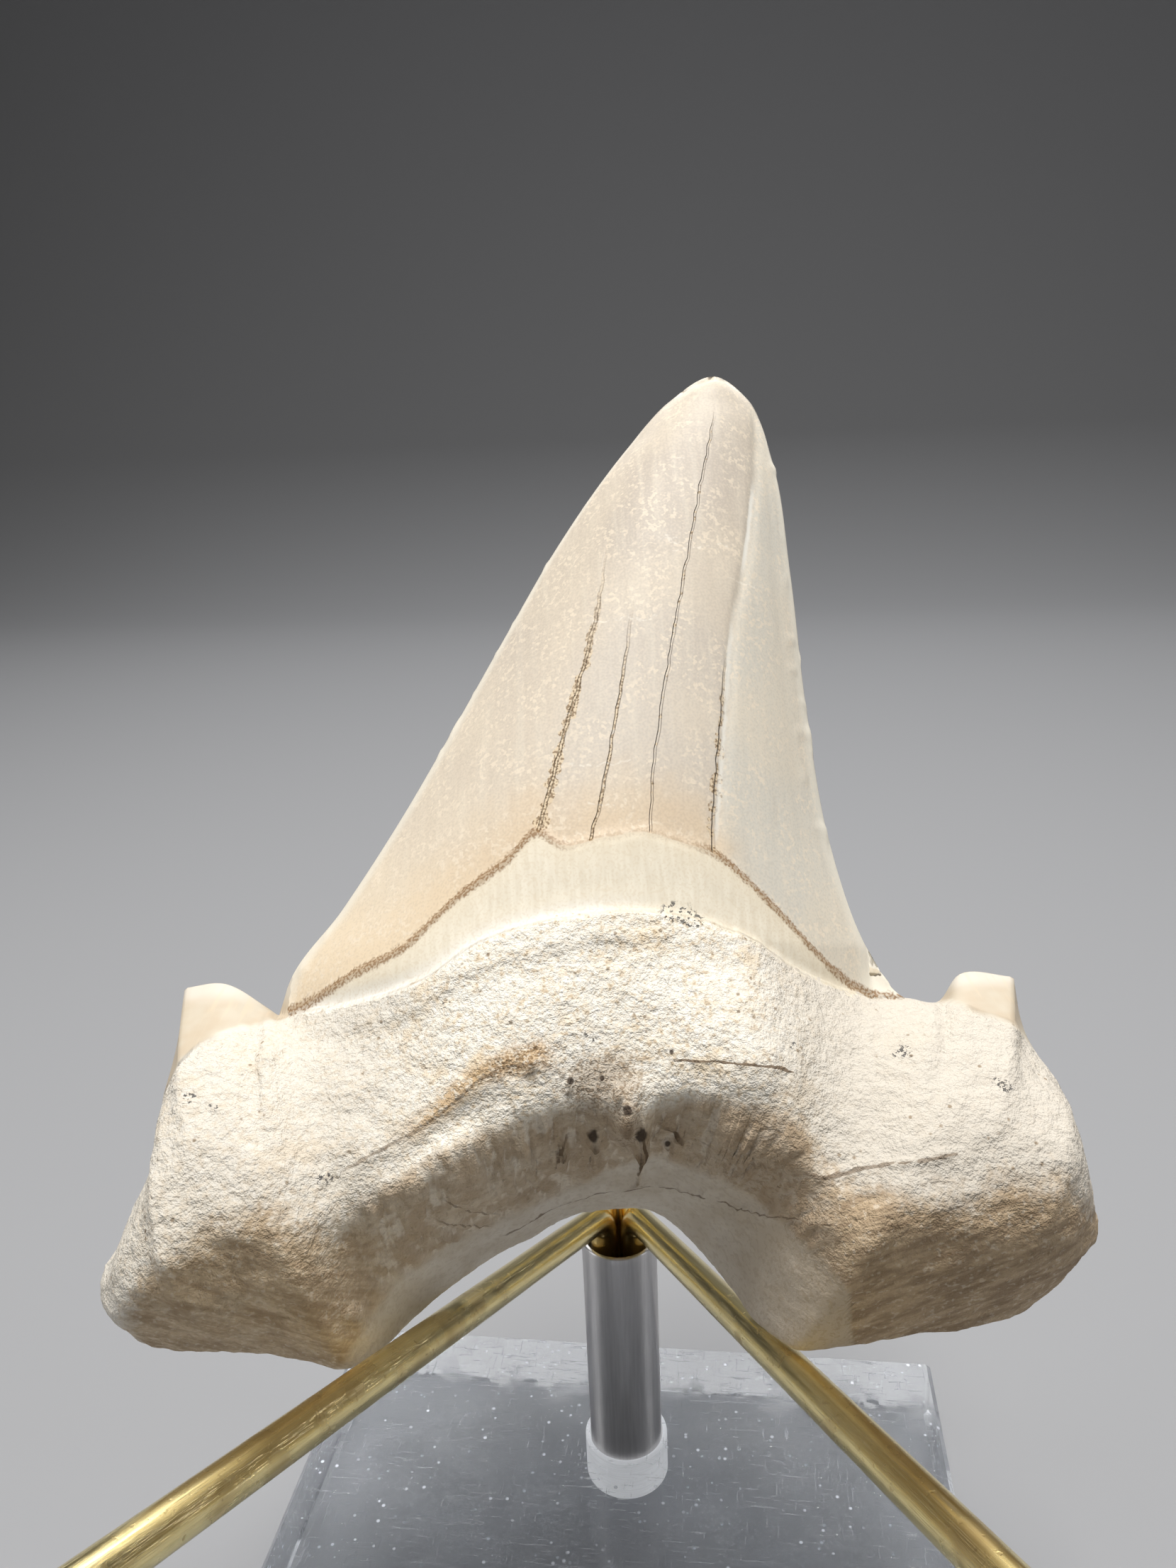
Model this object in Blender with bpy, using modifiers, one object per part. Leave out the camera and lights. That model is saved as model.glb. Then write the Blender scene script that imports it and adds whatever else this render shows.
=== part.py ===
"""Fossil shark tooth on a wire display stand.

Metres, +Z up. Origin: centre of the underside of the acrylic base, whose sides follow X and Y.
The tooth stands on two brass arms that rise to the front (-Y) and leans back on a third arm.
"""

from math import cos, pi, radians, sin, tan

import bmesh
import bpy
import numpy as np
from mathutils import Matrix, Vector

MM = 0.001

# Acrylic base, a square block with a blind socket for the post.
BASE_SIDE = 56.0
BASE_HEIGHT = 11.0
BASE_CHAMFER = 0.4
CHAMFER_SEGMENTS = 2
SOCKET_RADIUS = 3.65
SOCKET_DEPTH = 7.0
CUTTER_OVERRUN = 5.0
POST_Y = 17.6

# Post, a drawn tube.
TUBE_RADIUS = 3.175
TUBE_BORE_RADIUS = 2.8
TUBE_TOP = 20.8  # above the base's upper face
TUBE_CLEARANCE = 0.3
TUBE_LIP = 0.12
TURNED_SIDES = 48

# Arms, bent from one gauge of wire. Their legs stand in a triangle in the tube.
WIRE_RADIUS = 1.125
LEG_CIRCLE = 1.47  # of the legs' centres
LEG_LENGTH = 14.0
BEND_RADIUS = 2.6
BEND_STEP = radians(12.0)
CORNER_HEIGHT = 23.35  # where a front arm's leg and run would meet, over the base's upper face
STAND_YAW = radians(8.0)  # the arms and the tooth are turned this far on the base
LEFT_AZIMUTH, LEFT_RISE = radians(-25.3), radians(19.7)  # azimuths turn from the front towards +X
RIGHT_AZIMUTH, RIGHT_RISE = radians(17.2), radians(17.9)
FRONT_REACH = 62.0
REAR_CORNERS = ((0.0, 1.47, 24.5), (0.0, -3.5, 62.5), (0.0, 3.3, 76.0))

# Tooth. Its own axes: u to the right, v from root to tip, w towards the viewer (the rounder face).
TOOTH_LEAN = radians(33.0)
TOOTH_FOOT = (0.0, -28.0, 34.55)  # where u = v = w = 0, from the post's foot
TOOTH_ACROSS = 3  # columns between two rows of the outline
UNDER_ROWS, UPPER_ROWS, CROWN_ROWS = 5, 4, 8  # of points up to the crest, the neck and the edge, lingually
ROOT_BACK, CROWN_BACK = 5, 5  # and up to the neck and the edge on the labial face
NECK_SHARES = (0.2, 0.75)  # the neck's row lies between these shares of its slice
NECK_TRIALS = 401  # shares tried in each slice to find the neck

# The outline from the left lobe's end to the right one's, in mm. Each row is a point (u, v) of the upper
# edge, and the point (u, v, w) of the lower edge that the same slice of the tooth runs down to.
OUTLINE = [
    ((-31.4, 4.6), (-31.4, 4.6, -1.9)),
    ((-30.9, 6.4), (-30.6, 3.3, -1.5)),
    ((-29.9, 7.7), (-29.2, 1.9, -1.0)),
    ((-28.5, 10.8), (-27.1, 1.2, -0.6)),
    ((-27.4, 13.6), (-24.9, 1.0, -0.5)),
    ((-27.7, 18.4), (-21.8, 0.7, -0.5)),
    ((-27.9, 22.5), (-19.3, 0.3, -0.5)),
    ((-25.4, 22.7), (-17.7, -0.1, -0.5)),
    ((-22.7, 21.2), (-16.2, -0.2, -0.8)),
    ((-21.6, 20.4), (-15.5, 0.0, -2.1)),
    ((-21.1, 22.4), (-14.4, 0.9, -4.4)),
    ((-17.6, 27.2), (-12.8, 2.3, -6.2)),
    ((-13.6, 33.3), (-10.6, 3.8, -7.3)),
    ((-10.2, 39.1), (-8.2, 5.1, -7.8)),
    ((-6.1, 46.3), (-6.2, 6.0, -7.8)),
    ((-2.4, 52.6), (-4.7, 6.8, -7.8)),
    ((2.9, 60.0), (-3.2, 7.3, -7.8)),
    ((6.0, 63.5), (-1.9, 7.5, -7.8)),
    ((9.7, 65.5), (-0.8, 7.6, -7.8)),
    ((11.9, 63.5), (0.4, 7.6, -7.8)),
    ((13.3, 58.5), (1.3, 7.5, -7.8)),
    ((13.9, 49.7), (2.8, 6.9, -7.7)),
    ((14.2, 39.5), (4.3, 5.6, -7.4)),
    ((15.0, 30.1), (5.8, 4.0, -6.8)),
    ((16.8, 23.2), (7.4, 2.0, -5.4)),
    ((19.1, 19.8), (8.6, 0.4, -2.8)),
    ((20.8, 19.5), (9.6, -0.2, -0.9)),
    ((22.6, 21.3), (11.1, -0.3, -0.5)),
    ((26.1, 21.0), (13.5, 0.0, -0.5)),
    ((26.2, 17.5), (16.9, 0.4, -0.5)),
    ((26.7, 14.1), (20.0, 0.7, -0.5)),
    ((27.2, 10.5), (23.4, 1.1, -1.0)),
    ((27.7, 8.0), (26.1, 2.8, -1.5)),
    ((28.1, 6.5), (27.8, 4.4, -1.8)),
    ((28.4, 5.5), (28.4, 5.5, -1.9)),
]
LEFT_NOTCH, TIP_ROW, RIGHT_NOTCH = 9, 18, 25  # rows at the two saddles and at the crown's tip
NECK = [(-21.6, 20.4), (-15.6, 20.6), (-11.2, 21.6), (-8.1, 23.4), (-4.1, 24.4), (0.0, 24.9), (5.8, 24.2),
        (8.8, 23.0), (10.7, 21.8), (14.6, 20.3), (19.1, 19.8)]
# height v and depth of the crown's middle, on either face
CROWN_LINGUAL = ((13, 20, 25, 30, 39, 49, 56, 62, 64.8, 65.5),
                 (6.2, 8.0, 7.9, 7.5, 6.3, 4.8, 3.4, 2.1, 1.0, 0))
CROWN_LABIAL = ((13, 20, 30, 44, 56, 65.5), (3.2, 3.1, 2.9, 2.3, 1.3, 0))
LINGUAL_ARC, LABIAL_ARC = (2.2, 0.9), (2.0, 0.8)  # exponents of the crown's section, flattened in the middle
CROWN_BASE, TIP_HEIGHT = 20.4, 65.5
EDGE_DEPTH = -1.9  # of the cutting edges at the crown's base; they run to w = 0 at the tip
BLEND = 1.8  # width of the fillet between crown and root
CROWN_SET = (0.1, 0.3)  # how far the root's top lies under the crown's lingual and labial face
CROWN_SINK, SINK_START = 1.2, 1.5  # slope of the crown's face inside the root, and where it starts to sink
ROOT_SINK = 0.9  # slope of the root's face inside the crown
FULL_BAND, BAND_EXPONENT = 15.3, 0.7  # root height at which the root has its full thickness, and how it thins
UNDER_CROWN = (7.5, 13.0, 21.5, 26.8)  # rows where the root's top leaves the outline's depth for the neck's
ARCH_DEPTH, LOBE_DEPTH = -7.6, -0.5  # of the lower edge, in the arch and on the lobes
LINGUAL_BULGE = (9.8, 9.2)  # of the root's face in the arch and on the lobes
# rows, and how far up the root this face turns there from its under side to its upper side
CREST = ((0, 6.5, 13, 20, 23, 26, 29, 34), (0.34, 0.34, 0.42, 0.43, 0.46, 0.43, 0.45, 0.5))
UNDER_BEND, UNDER_ROUND = (1.15, 1.35), 0.94  # exponents of the under side's section, flat with 1 and 1
UPPER_BEND, UPPER_ROUND = (1.4, 2.0), (1.0, 0.5)  # of the upper side's, down to the neck and to the outline
LABIAL_BULGE = (1.0, 5.5)
LABIAL_ROUND = 0.5  # how bluntly this face comes down to the lower edge
NECK_ROUND = (1.1, 0.5)  # and to the neck and the outline
# rows where the cusplets stand, and how much more sharply their faces come down to the outline there
CUSPLETS = ((4.2, 6.0, 7.6, 9.0, 25.5, 27.0, 28.3, 30.0), (0, 1, 1, 0, 0, 1, 1, 0))
LINGUAL_BLADE, LABIAL_BLADE = 0.55, 0.8

ACRYLIC = ("clear_acrylic", (0.93, 0.96, 0.98), 0.05, 0.0)
NICKEL = ("nickel_tube", (0.62, 0.62, 0.64), 0.3, 1.0)
BRASS = ("brass_wire", (0.72, 0.56, 0.27), 0.3, 1.0)
FOSSIL = ("fossil", (0.78, 0.71, 0.60), 0.6, 0.0)


def clear_scene():
    for thing in list(bpy.data.objects):
        bpy.data.objects.remove(thing)


def make_collection(name):
    collection = bpy.data.collections.new(name)
    bpy.context.scene.collection.children.link(collection)
    return collection


def make_material(name, color, roughness, metallic):
    material = bpy.data.materials.new(name)
    material.use_nodes = True
    shader = material.node_tree.nodes["Principled BSDF"]
    shader.inputs["Base Color"].default_value = (*color, 1.0)
    shader.inputs["Roughness"].default_value = roughness
    shader.inputs["Metallic"].default_value = metallic
    return material


def place(thing, collection, finish, parent=None):
    for old in list(thing.users_collection):
        old.objects.unlink(thing)
    collection.objects.link(thing)
    thing.parent = parent
    thing.data.materials.append(make_material(*finish))
    return thing


def add_cylinder(name, radius, bottom, top):
    bpy.ops.mesh.primitive_cylinder_add(
        vertices=TURNED_SIDES, radius=radius * MM, depth=(top - bottom) * MM,
        location=(0, POST_Y * MM, (top + bottom) / 2 * MM))
    cylinder = bpy.context.object
    cylinder.name = name
    return cylinder


def cut(thing, cutter, cutters):
    for old in list(cutter.users_collection):
        old.objects.unlink(cutter)
    cutters.objects.link(cutter)
    cutter.hide_render = True
    cutter.display_type = "WIRE"
    boolean = thing.modifiers.new("cut", "BOOLEAN")
    boolean.operation = "DIFFERENCE"
    boolean.object = cutter


def build_base(parts, cutters):
    """A square block, chamfered, with the blind socket."""
    bpy.ops.mesh.primitive_cube_add(size=1, location=(0, 0, BASE_HEIGHT / 2 * MM))
    base = bpy.context.object
    base.name = "acrylic_base"
    base.scale = (BASE_SIDE * MM, BASE_SIDE * MM, BASE_HEIGHT * MM)
    bpy.ops.object.transform_apply(location=False, rotation=False, scale=True)
    chamfer = base.modifiers.new("chamfer", "BEVEL")
    chamfer.width = BASE_CHAMFER * MM
    chamfer.segments = CHAMFER_SEGMENTS
    floor = BASE_HEIGHT - SOCKET_DEPTH
    socket = add_cylinder("socket_cutter", SOCKET_RADIUS, floor, BASE_HEIGHT + CUTTER_OVERRUN)
    cut(base, socket, cutters)
    place(base, parts, ACRYLIC)


def build_tube(parts):
    """The post: a turned wall, standing just above the socket's floor."""
    foot = BASE_HEIGHT - SOCKET_DEPTH + TUBE_CLEARANCE
    top = BASE_HEIGHT + TUBE_TOP
    profile = [(TUBE_RADIUS - TUBE_LIP, top), (TUBE_RADIUS, top - TUBE_LIP), (TUBE_RADIUS, foot),
               (TUBE_BORE_RADIUS, foot), (TUBE_BORE_RADIUS, top)]
    mesh = bpy.data.meshes.new("post_tube")
    shape = bmesh.new()
    ring = [shape.verts.new((radius * MM, 0, height * MM)) for radius, height in profile]
    for near, far in zip(ring, ring[1:] + ring[:1]):
        shape.edges.new((near, far))
    shape.to_mesh(mesh)
    shape.free()
    tube = bpy.data.objects.new("post_tube", mesh)
    tube.location = (0, POST_Y * MM, 0)
    screw = tube.modifiers.new("turn", "SCREW")
    screw.steps = screw.render_steps = TURNED_SIDES
    screw.use_merge_vertices = True
    screw.merge_threshold = 0.00001
    place(tube, parts, NICKEL)


def leg_at(azimuth):
    """The point where a leg in the tube has its centre, at the mouth's height."""
    return Vector((LEG_CIRCLE * sin(azimuth), -LEG_CIRCLE * cos(azimuth), TUBE_TOP))


def front_corners(side, azimuth, rise):
    """Foot, corner and tip of a front arm, which rises away from its leg."""
    leg = leg_at(side * pi / 3)
    corner = Vector((leg.x, leg.y, CORNER_HEIGHT))
    run = Vector((sin(azimuth) * cos(rise), -cos(azimuth) * cos(rise), sin(rise)))
    return [leg - Vector((0, 0, LEG_LENGTH)), corner, corner + run * FRONT_REACH]


def rear_corners():
    """The rear arm rises behind the tooth, then leans back with it."""
    return [leg_at(pi) - Vector((0, 0, LEG_LENGTH)), *map(Vector, REAR_CORNERS)]


def rounded(corners):
    """The points of a wire bent at each corner to the bend radius."""
    points = [corners[0], (corners[0] + corners[1]) / 2]
    for last, corner, following in zip(corners, corners[1:], corners[2:]):
        before, after = (corner - last).normalized(), (following - corner).normalized()
        turn = before.angle(after)
        side = (after - before * before.dot(after)).normalized()
        start = corner - before * BEND_RADIUS * tan(turn / 2)
        steps = max(2, round(turn / BEND_STEP))
        for i in range(steps + 1):
            angle = turn * i / steps
            points.append(start + BEND_RADIUS * (side * (1 - cos(angle)) + before * sin(angle)))
    return [*points, (points[-1] + corners[-1]) / 2, corners[-1]]


def build_arm(name, corners, parts, cradle):
    """A wire is a curve tube with its end faces filled."""
    points = rounded(corners)
    curve = bpy.data.curves.new(name, "CURVE")
    curve.dimensions = "3D"
    curve.bevel_depth = WIRE_RADIUS * MM
    curve.bevel_resolution = 3
    curve.use_fill_caps = True
    spline = curve.splines.new("POLY")
    spline.points.add(len(points) - 1)
    for slot, point in zip(spline.points, points):
        slot.co = (*(point * MM), 1.0)
    place(bpy.data.objects.new(name, curve), parts, BRASS, cradle)


def smooth_max(a, b, width):
    """The larger of two heights, with a fillet of that width where they cross."""
    h = np.clip(0.5 + 0.5 * (a - b) / width, 0, 1)
    return b + (a - b) * h + width * h * (1 - h)


def between(pair, share):
    """The pair's first value where share is 1, its second where share is 0."""
    return pair[1] + (pair[0] - pair[1]) * share


def eased(share):
    """A share from 0 to 1 that leaves both ends level."""
    return share * share * (3 - 2 * share)


def dome(across, flatness, roundness):
    """Height of the crown's section, from 1 in the middle to 0 at both edges."""
    return (1 - np.abs(across) ** flatness) ** roundness


def tooth_depths(u, v, share, row, root_top, crest, root_height, low_depth):
    """The lingual and the labial face's depth w over (u, v), both meeting the outline."""
    upper = np.array([top for top, _ in OUTLINE])
    left = upper[LEFT_NOTCH:TIP_ROW + 1]
    right = upper[TIP_ROW:RIGHT_NOTCH + 1][::-1]
    edge_left = np.interp(v, left[:, 1], left[:, 0])
    edge_right = np.interp(v, right[:, 1], right[:, 0])
    across = np.clip((2 * u - edge_left - edge_right) / (edge_right - edge_left + 1e-6), -1, 1)
    edge = EDGE_DEPTH * (1 - np.clip((v - CROWN_BASE) / (TIP_HEIGHT - CROWN_BASE), 0, 1))
    crown_front = edge + np.interp(v, *CROWN_LINGUAL) * dome(across, *LINGUAL_ARC)
    crown_back = edge - np.interp(v, *CROWN_LABIAL) * dome(across, *LABIAL_ARC)

    neck = np.array(NECK)
    above = np.interp(u, neck[:, 0], neck[:, 1]) - v  # negative over the neck line
    sunk = CROWN_SINK * np.clip(above - SINK_START, 0, None)
    past = ROOT_SINK * np.where(share > root_top, np.clip(-above, 0, None), 0)
    up = np.clip(share / root_top, 0, 1)
    neck_side = eased(np.interp(row, UNDER_CROWN, (0, 1, 1, 0)))
    arch = np.clip((LOBE_DEPTH - low_depth) / (LOBE_DEPTH - ARCH_DEPTH), 0, 1)
    band = np.clip(root_height / FULL_BAND, 0, 1) ** BAND_EXPONENT

    front_top = edge + (crown_front - CROWN_SET[0] - edge) * neck_side
    back_top = edge + (crown_back + CROWN_SET[1] - edge) * neck_side
    crest_depth = low_depth + (front_top - low_depth) * crest + between(LINGUAL_BULGE, arch) * band
    rise = (1 - (1 - np.clip(up / crest, 0, 1)) ** between(UNDER_BEND, arch)) ** UNDER_ROUND
    drop = np.clip((up - crest) / (1 - crest), 0, 1)
    blade = eased(np.interp(row, *CUSPLETS))
    rounding = between(UPPER_ROUND, neck_side) + LINGUAL_BLADE * blade
    fall = (1 - drop ** between(UPPER_BEND, neck_side)) ** rounding
    under_side = low_depth + (crest_depth - low_depth) * rise
    upper_side = front_top + (crest_depth - front_top) * fall
    root_front = np.where(up < crest, under_side, upper_side) - past
    rise_back = 1 - (1 - np.clip(2 * up, 0, 1)) ** 2
    fall_back = 1 - (1 - np.clip(2 * (1 - up), 0, 1)) ** 2
    back_fall = fall_back ** (between(NECK_ROUND, neck_side) + LABIAL_BLADE * blade)
    back_swell = between(LABIAL_BULGE, arch) * band * rise_back**LABIAL_ROUND * back_fall
    root_back = low_depth + (back_top - low_depth) * up - back_swell + past

    in_crown = (row > LEFT_NOTCH) & (row < RIGHT_NOTCH)
    front = np.where(in_crown, smooth_max(root_front, crown_front - sunk, BLEND), root_front)
    back = np.where(in_crown, -smooth_max(-root_back, -crown_back - sunk, BLEND), root_back)
    return front, back, edge


def neck_shares(upper, lower, row):
    """How far up its slice the neck crosses each column; 1 where the column has no crown."""
    trial = np.linspace(0, 1, NECK_TRIALS)
    u = lower[:, :1] * (1 - trial) + upper[:, :1] * trial
    v = lower[:, 1:2] * (1 - trial) + upper[:, 1:2] * trial
    neck = np.array(NECK)
    over = (v > np.interp(u, neck[:, 0], neck[:, 1])) & (row > LEFT_NOTCH) & (row < RIGHT_NOTCH)
    return np.where(over.any(1), trial[over.argmax(1)], 1)[:, None]


def row_shares(root_top, crest):
    """How far up its slice each row of points lies: one row follows the crest and one the neck."""
    turn = root_top * crest
    split = np.clip(root_top, *NECK_SHARES)

    def crowded(rows):
        return (1 - np.cos(np.linspace(0, pi, rows + 1))) / 2

    under, upper = turn * crowded(UNDER_ROWS), turn + (split - turn) * crowded(UPPER_ROWS)[1:]
    front = np.concatenate([under, upper, split + (1 - split) * crowded(CROWN_ROWS)[1:]], 1)
    back = np.concatenate([split * crowded(ROOT_BACK), split + (1 - split) * crowded(CROWN_BACK)[1:]], 1)
    return front, back


def tooth_grid():
    """Points of the tooth in (u, v, w): columns follow the outline, rows go round each slice."""
    outline = np.array([(*top, *bottom) for top, bottom in OUTLINE])
    count = (len(outline) - 1) * TOOTH_ACROSS + 1
    row = np.linspace(0, len(outline) - 1, count)[1:-1]
    upper = np.stack([np.interp(row, range(len(outline)), outline[:, i]) for i in (0, 1)], 1)
    lower = np.stack([np.interp(row, range(len(outline)), outline[:, i]) for i in (2, 3, 4)], 1)
    row = row[:, None]
    root_top = neck_shares(upper, lower, row)
    root_height = np.linalg.norm(upper - lower[:, :2], axis=1)[:, None] * root_top
    crest = np.interp(row, *CREST)
    front_share, back_share = row_shares(root_top, crest)
    share = np.concatenate([front_share, back_share[:, -2:0:-1]], 1)
    top_row = front_share.shape[1] - 1
    is_front = np.arange(share.shape[1]) <= top_row
    u = lower[:, :1] * (1 - share) + upper[:, :1] * share
    v = lower[:, 1:2] * (1 - share) + upper[:, 1:2] * share
    front, back, edge = tooth_depths(u, v, share, row, root_top, crest, root_height, lower[:, 2:])
    w = np.where(is_front, front, back)
    w[:, 0] = lower[:, 2]
    w[:, top_row] = edge[:, top_row]
    return np.stack([u, v, w], -1), outline[0, 2:], outline[-1, 2:]


def build_tooth(parts, cradle):
    """Crown, cusplets and root in one skin, closed by a point at each lobe's end."""
    grid, left_end, right_end = tooth_grid()
    columns, around = grid.shape[:2]
    shape = bmesh.new()
    slices = [[shape.verts.new(point * MM) for point in column] for column in grid]
    for near, far in zip(slices, slices[1:]):
        for i in range(around):
            j = (i + 1) % around
            shape.faces.new((near[i], far[i], far[j], near[j]))
    for end, column, flip in ((left_end, slices[0], False), (right_end, slices[-1], True)):
        pole = shape.verts.new(end * MM)
        for i in range(around):
            pair = (column[i], column[(i + 1) % around])
            shape.faces.new((pole, *(pair[::-1] if flip else pair)))
    bmesh.ops.recalc_face_normals(shape, faces=shape.faces)
    mesh = bpy.data.meshes.new("tooth")
    shape.to_mesh(mesh)
    shape.free()
    mesh.shade_smooth()
    tooth = bpy.data.objects.new("tooth", mesh)
    place(tooth, parts, FOSSIL, cradle)
    side = Vector((1, 0, 0))
    rise = Vector((0, sin(TOOTH_LEAN), cos(TOOTH_LEAN)))
    facing = side.cross(rise)
    turn = Matrix((side, rise, facing)).transposed().to_4x4()
    tooth.matrix_local = Matrix.Translation(Vector(TOOTH_FOOT) * MM) @ turn


def main():
    clear_scene()
    parts = make_collection("shark_tooth_on_stand")
    cutters = make_collection("cutters")
    build_base(parts, cutters)
    build_tube(parts)
    cradle = bpy.data.objects.new("cradle", None)
    parts.objects.link(cradle)
    cradle.location = (0, POST_Y * MM, BASE_HEIGHT * MM)
    cradle.rotation_euler = (0, 0, STAND_YAW)
    build_arm("front_arm_left", front_corners(-1, LEFT_AZIMUTH, LEFT_RISE), parts, cradle)
    build_arm("front_arm_right", front_corners(1, RIGHT_AZIMUTH, RIGHT_RISE), parts, cradle)
    build_arm("rear_arm", rear_corners(), parts, cradle)
    build_tooth(parts, cradle)


main()
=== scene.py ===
from math import cos, pi, radians, sin, tan

import bpy
import numpy as np
from mathutils import Matrix, Vector


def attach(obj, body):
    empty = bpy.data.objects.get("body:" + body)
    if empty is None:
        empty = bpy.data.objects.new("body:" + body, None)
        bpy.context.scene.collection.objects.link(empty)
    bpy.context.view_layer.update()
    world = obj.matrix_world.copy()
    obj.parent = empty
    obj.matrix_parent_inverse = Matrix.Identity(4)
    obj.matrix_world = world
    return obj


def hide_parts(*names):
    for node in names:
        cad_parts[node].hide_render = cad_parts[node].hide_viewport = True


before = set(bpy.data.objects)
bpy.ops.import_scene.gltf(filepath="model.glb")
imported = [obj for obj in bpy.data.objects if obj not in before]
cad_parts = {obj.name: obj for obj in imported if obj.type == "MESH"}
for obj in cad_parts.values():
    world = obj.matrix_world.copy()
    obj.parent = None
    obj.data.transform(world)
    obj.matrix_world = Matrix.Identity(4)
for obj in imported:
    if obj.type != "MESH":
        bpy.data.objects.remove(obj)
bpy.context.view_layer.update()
print("frame loaded:", ", ".join(sorted(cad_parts)))

mm = 0.001
stand = {
    "postY": 17.6,  # the post's axis on the base
    "baseTop": 11.0,
    "yaw": radians(8),  # the arms and the tooth are turned this far on the base
}


# ---- shared shape tools

def knotSlopes(knots, points, corners=()):
    # slopes of a curve through the points: the parabola through each three, one-sided at a corner
    steps = (points[1:] - points[:-1]) / (knots[1:] - knots[:-1])[:, None]
    spans = (knots[1:] - knots[:-1])[:, None]
    middle = (steps[:-1] * spans[1:] + steps[1:] * spans[:-1]) / (spans[1:] + spans[:-1])
    leaving = np.concatenate([steps[:1], middle, steps[-1:]])
    arriving = leaving.copy()
    for corner in corners:
        arriving[corner] = steps[corner - 1]
        leaving[corner] = steps[corner]
    return leaving, arriving


def curveAt(at, knots, points, corners=()):
    # cubic Hermite through the points at each parameter in at
    knots = np.asarray(knots, float)
    points = np.asarray(points, float)
    flat = points.ndim == 1
    if flat:
        points = points[:, None]
    leaving, arriving = knotSlopes(knots, points, corners)
    at = np.clip(np.asarray(at, float), knots[0], knots[-1])
    i = np.clip(np.searchsorted(knots, at, side="right") - 1, 0, len(knots) - 2)
    span = (knots[i + 1] - knots[i])[..., None]
    t = (at - knots[i])[..., None] / span
    t2, t3 = t * t, t * t * t
    made = (points[i] * (2 * t3 - 3 * t2 + 1) + leaving[i] * span * (t3 - 2 * t2 + t)
            + points[i + 1] * (3 * t2 - 2 * t3) + arriving[i + 1] * span * (t3 - t2))
    return made[..., 0] if flat else made


def step(x, low, high):
    # 0 below low, 1 above high, smooth between
    t = np.clip((x - low) / (high - low), 0, 1)
    return t * t * (3 - 2 * t)


def between(a, b, share):
    # a + (b - a) * share
    return a + (b - a) * share


def window(x, start, full, fade, end):
    # rises from start to full and falls again from fade to end
    return step(x, start, full) * (1 - step(x, fade, end))


def bell(x, width):
    # exp(-(x / width)^2)
    return np.exp(-((x / width) ** 2))


def hashed(x, y, z, seed):
    # a repeatable number from 0 to 1 for each lattice corner
    n = (x * 73856093) ^ (y * 19349663) ^ (z * 83492791) ^ (seed * 2654435761)
    n = (n ^ (n >> 13)) * 1274126177 & 0xFFFFFFFF
    n = (n ^ (n >> 15)) * 2246822519 & 0xFFFFFFFF
    return ((n ^ (n >> 16)) & 0xFFFFFF) / 0xFFFFFF


def softNoise(points, scale, seed):
    # value noise: lattice numbers blended by the fifth-degree fade in x, y and z, from -1 to 1
    p = points * scale + 1000.0
    cell = np.floor(p).astype(np.int64)
    f = p - cell
    fade = f * f * f * (f * (f * 6 - 15) + 10)
    total = 0.0
    for corner in range(8):
        dx, dy, dz = corner & 1, corner >> 1 & 1, corner >> 2
        share = (np.where(dx, fade[..., 0], 1 - fade[..., 0])
                 * np.where(dy, fade[..., 1], 1 - fade[..., 1])
                 * np.where(dz, fade[..., 2], 1 - fade[..., 2]))
        total = total + share * hashed(cell[..., 0] + dx, cell[..., 1] + dy, cell[..., 2] + dz, seed)
    return total * 2 - 1


def grainNoise(points, scale, octaves, seed):
    # octaves of softNoise, each twice as fine and half as strong
    total = 0.0
    for octave in range(octaves):
        total = total + softNoise(points, scale * 2**octave, seed + octave) / 2**octave
    return total / (2 - 2 / 2**octaves)


def lineDistance(u, v, line):
    # distance of each point from a line of segments, and how far along the line it is, from 0 to 1
    line = np.asarray(line, float)
    start, run = line[:-1, :2], np.diff(line[:, :2], axis=0)
    length = np.hypot(run[:, 0], run[:, 1])
    before = np.concatenate([[0], np.cumsum(length)[:-1]])
    best = np.full(u.shape, 1e3)
    along = np.zeros(u.shape)
    for i in range(len(run)):
        du, dv = u - start[i, 0], v - start[i, 1]
        share = np.clip((du * run[i, 0] + dv * run[i, 1]) / length[i] ** 2, 0, 1)
        away = np.hypot(du - share * run[i, 0], dv - share * run[i, 1])
        nearer = away < best
        best = np.where(nearer, away, best)
        along = np.where(nearer, (before[i] + share * length[i]) / length.sum(), along)
    return best, along


def inScene(name, data):
    # a new object, linked into the scene
    thing = bpy.data.objects.new(name, data)
    bpy.context.scene.collection.objects.link(thing)
    return thing


def meshInScene(name, points, faces, materials):
    mesh = bpy.data.meshes.new(name)
    mesh.from_pydata(points.tolist(), [], faces)
    mesh.update()
    for material in materials:
        mesh.materials.append(material)
    mesh.shade_smooth()
    return inScene(name, mesh)


def makePiece(name, vertices, faces, replaced, materials):
    piece = meshInScene(name, vertices * mm, faces, materials)
    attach(piece, "root")
    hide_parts(replaced)
    return piece


def gridFaces(columns, around, closed=False, flip=False):
    # quads of a grid whose rows close on themselves, and whose columns do too where closed is set
    c, r = np.meshgrid(np.arange(columns if closed else columns - 1), np.arange(around), indexing="ij")
    c2, r2 = (c + 1) % columns, (r + 1) % around
    quads = np.stack([c * around + r, c2 * around + r, c2 * around + r2, c * around + r2], -1).reshape(-1, 4)
    return (quads[:, ::-1] if flip else quads).tolist()


def fanFaces(pole, ring, flip=False):
    # triangles that close a ring on its pole
    fan = np.stack([np.full(len(ring), pole), ring, np.roll(ring, -1)], -1)
    return (fan[:, ::-1] if flip else fan).tolist()


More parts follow.
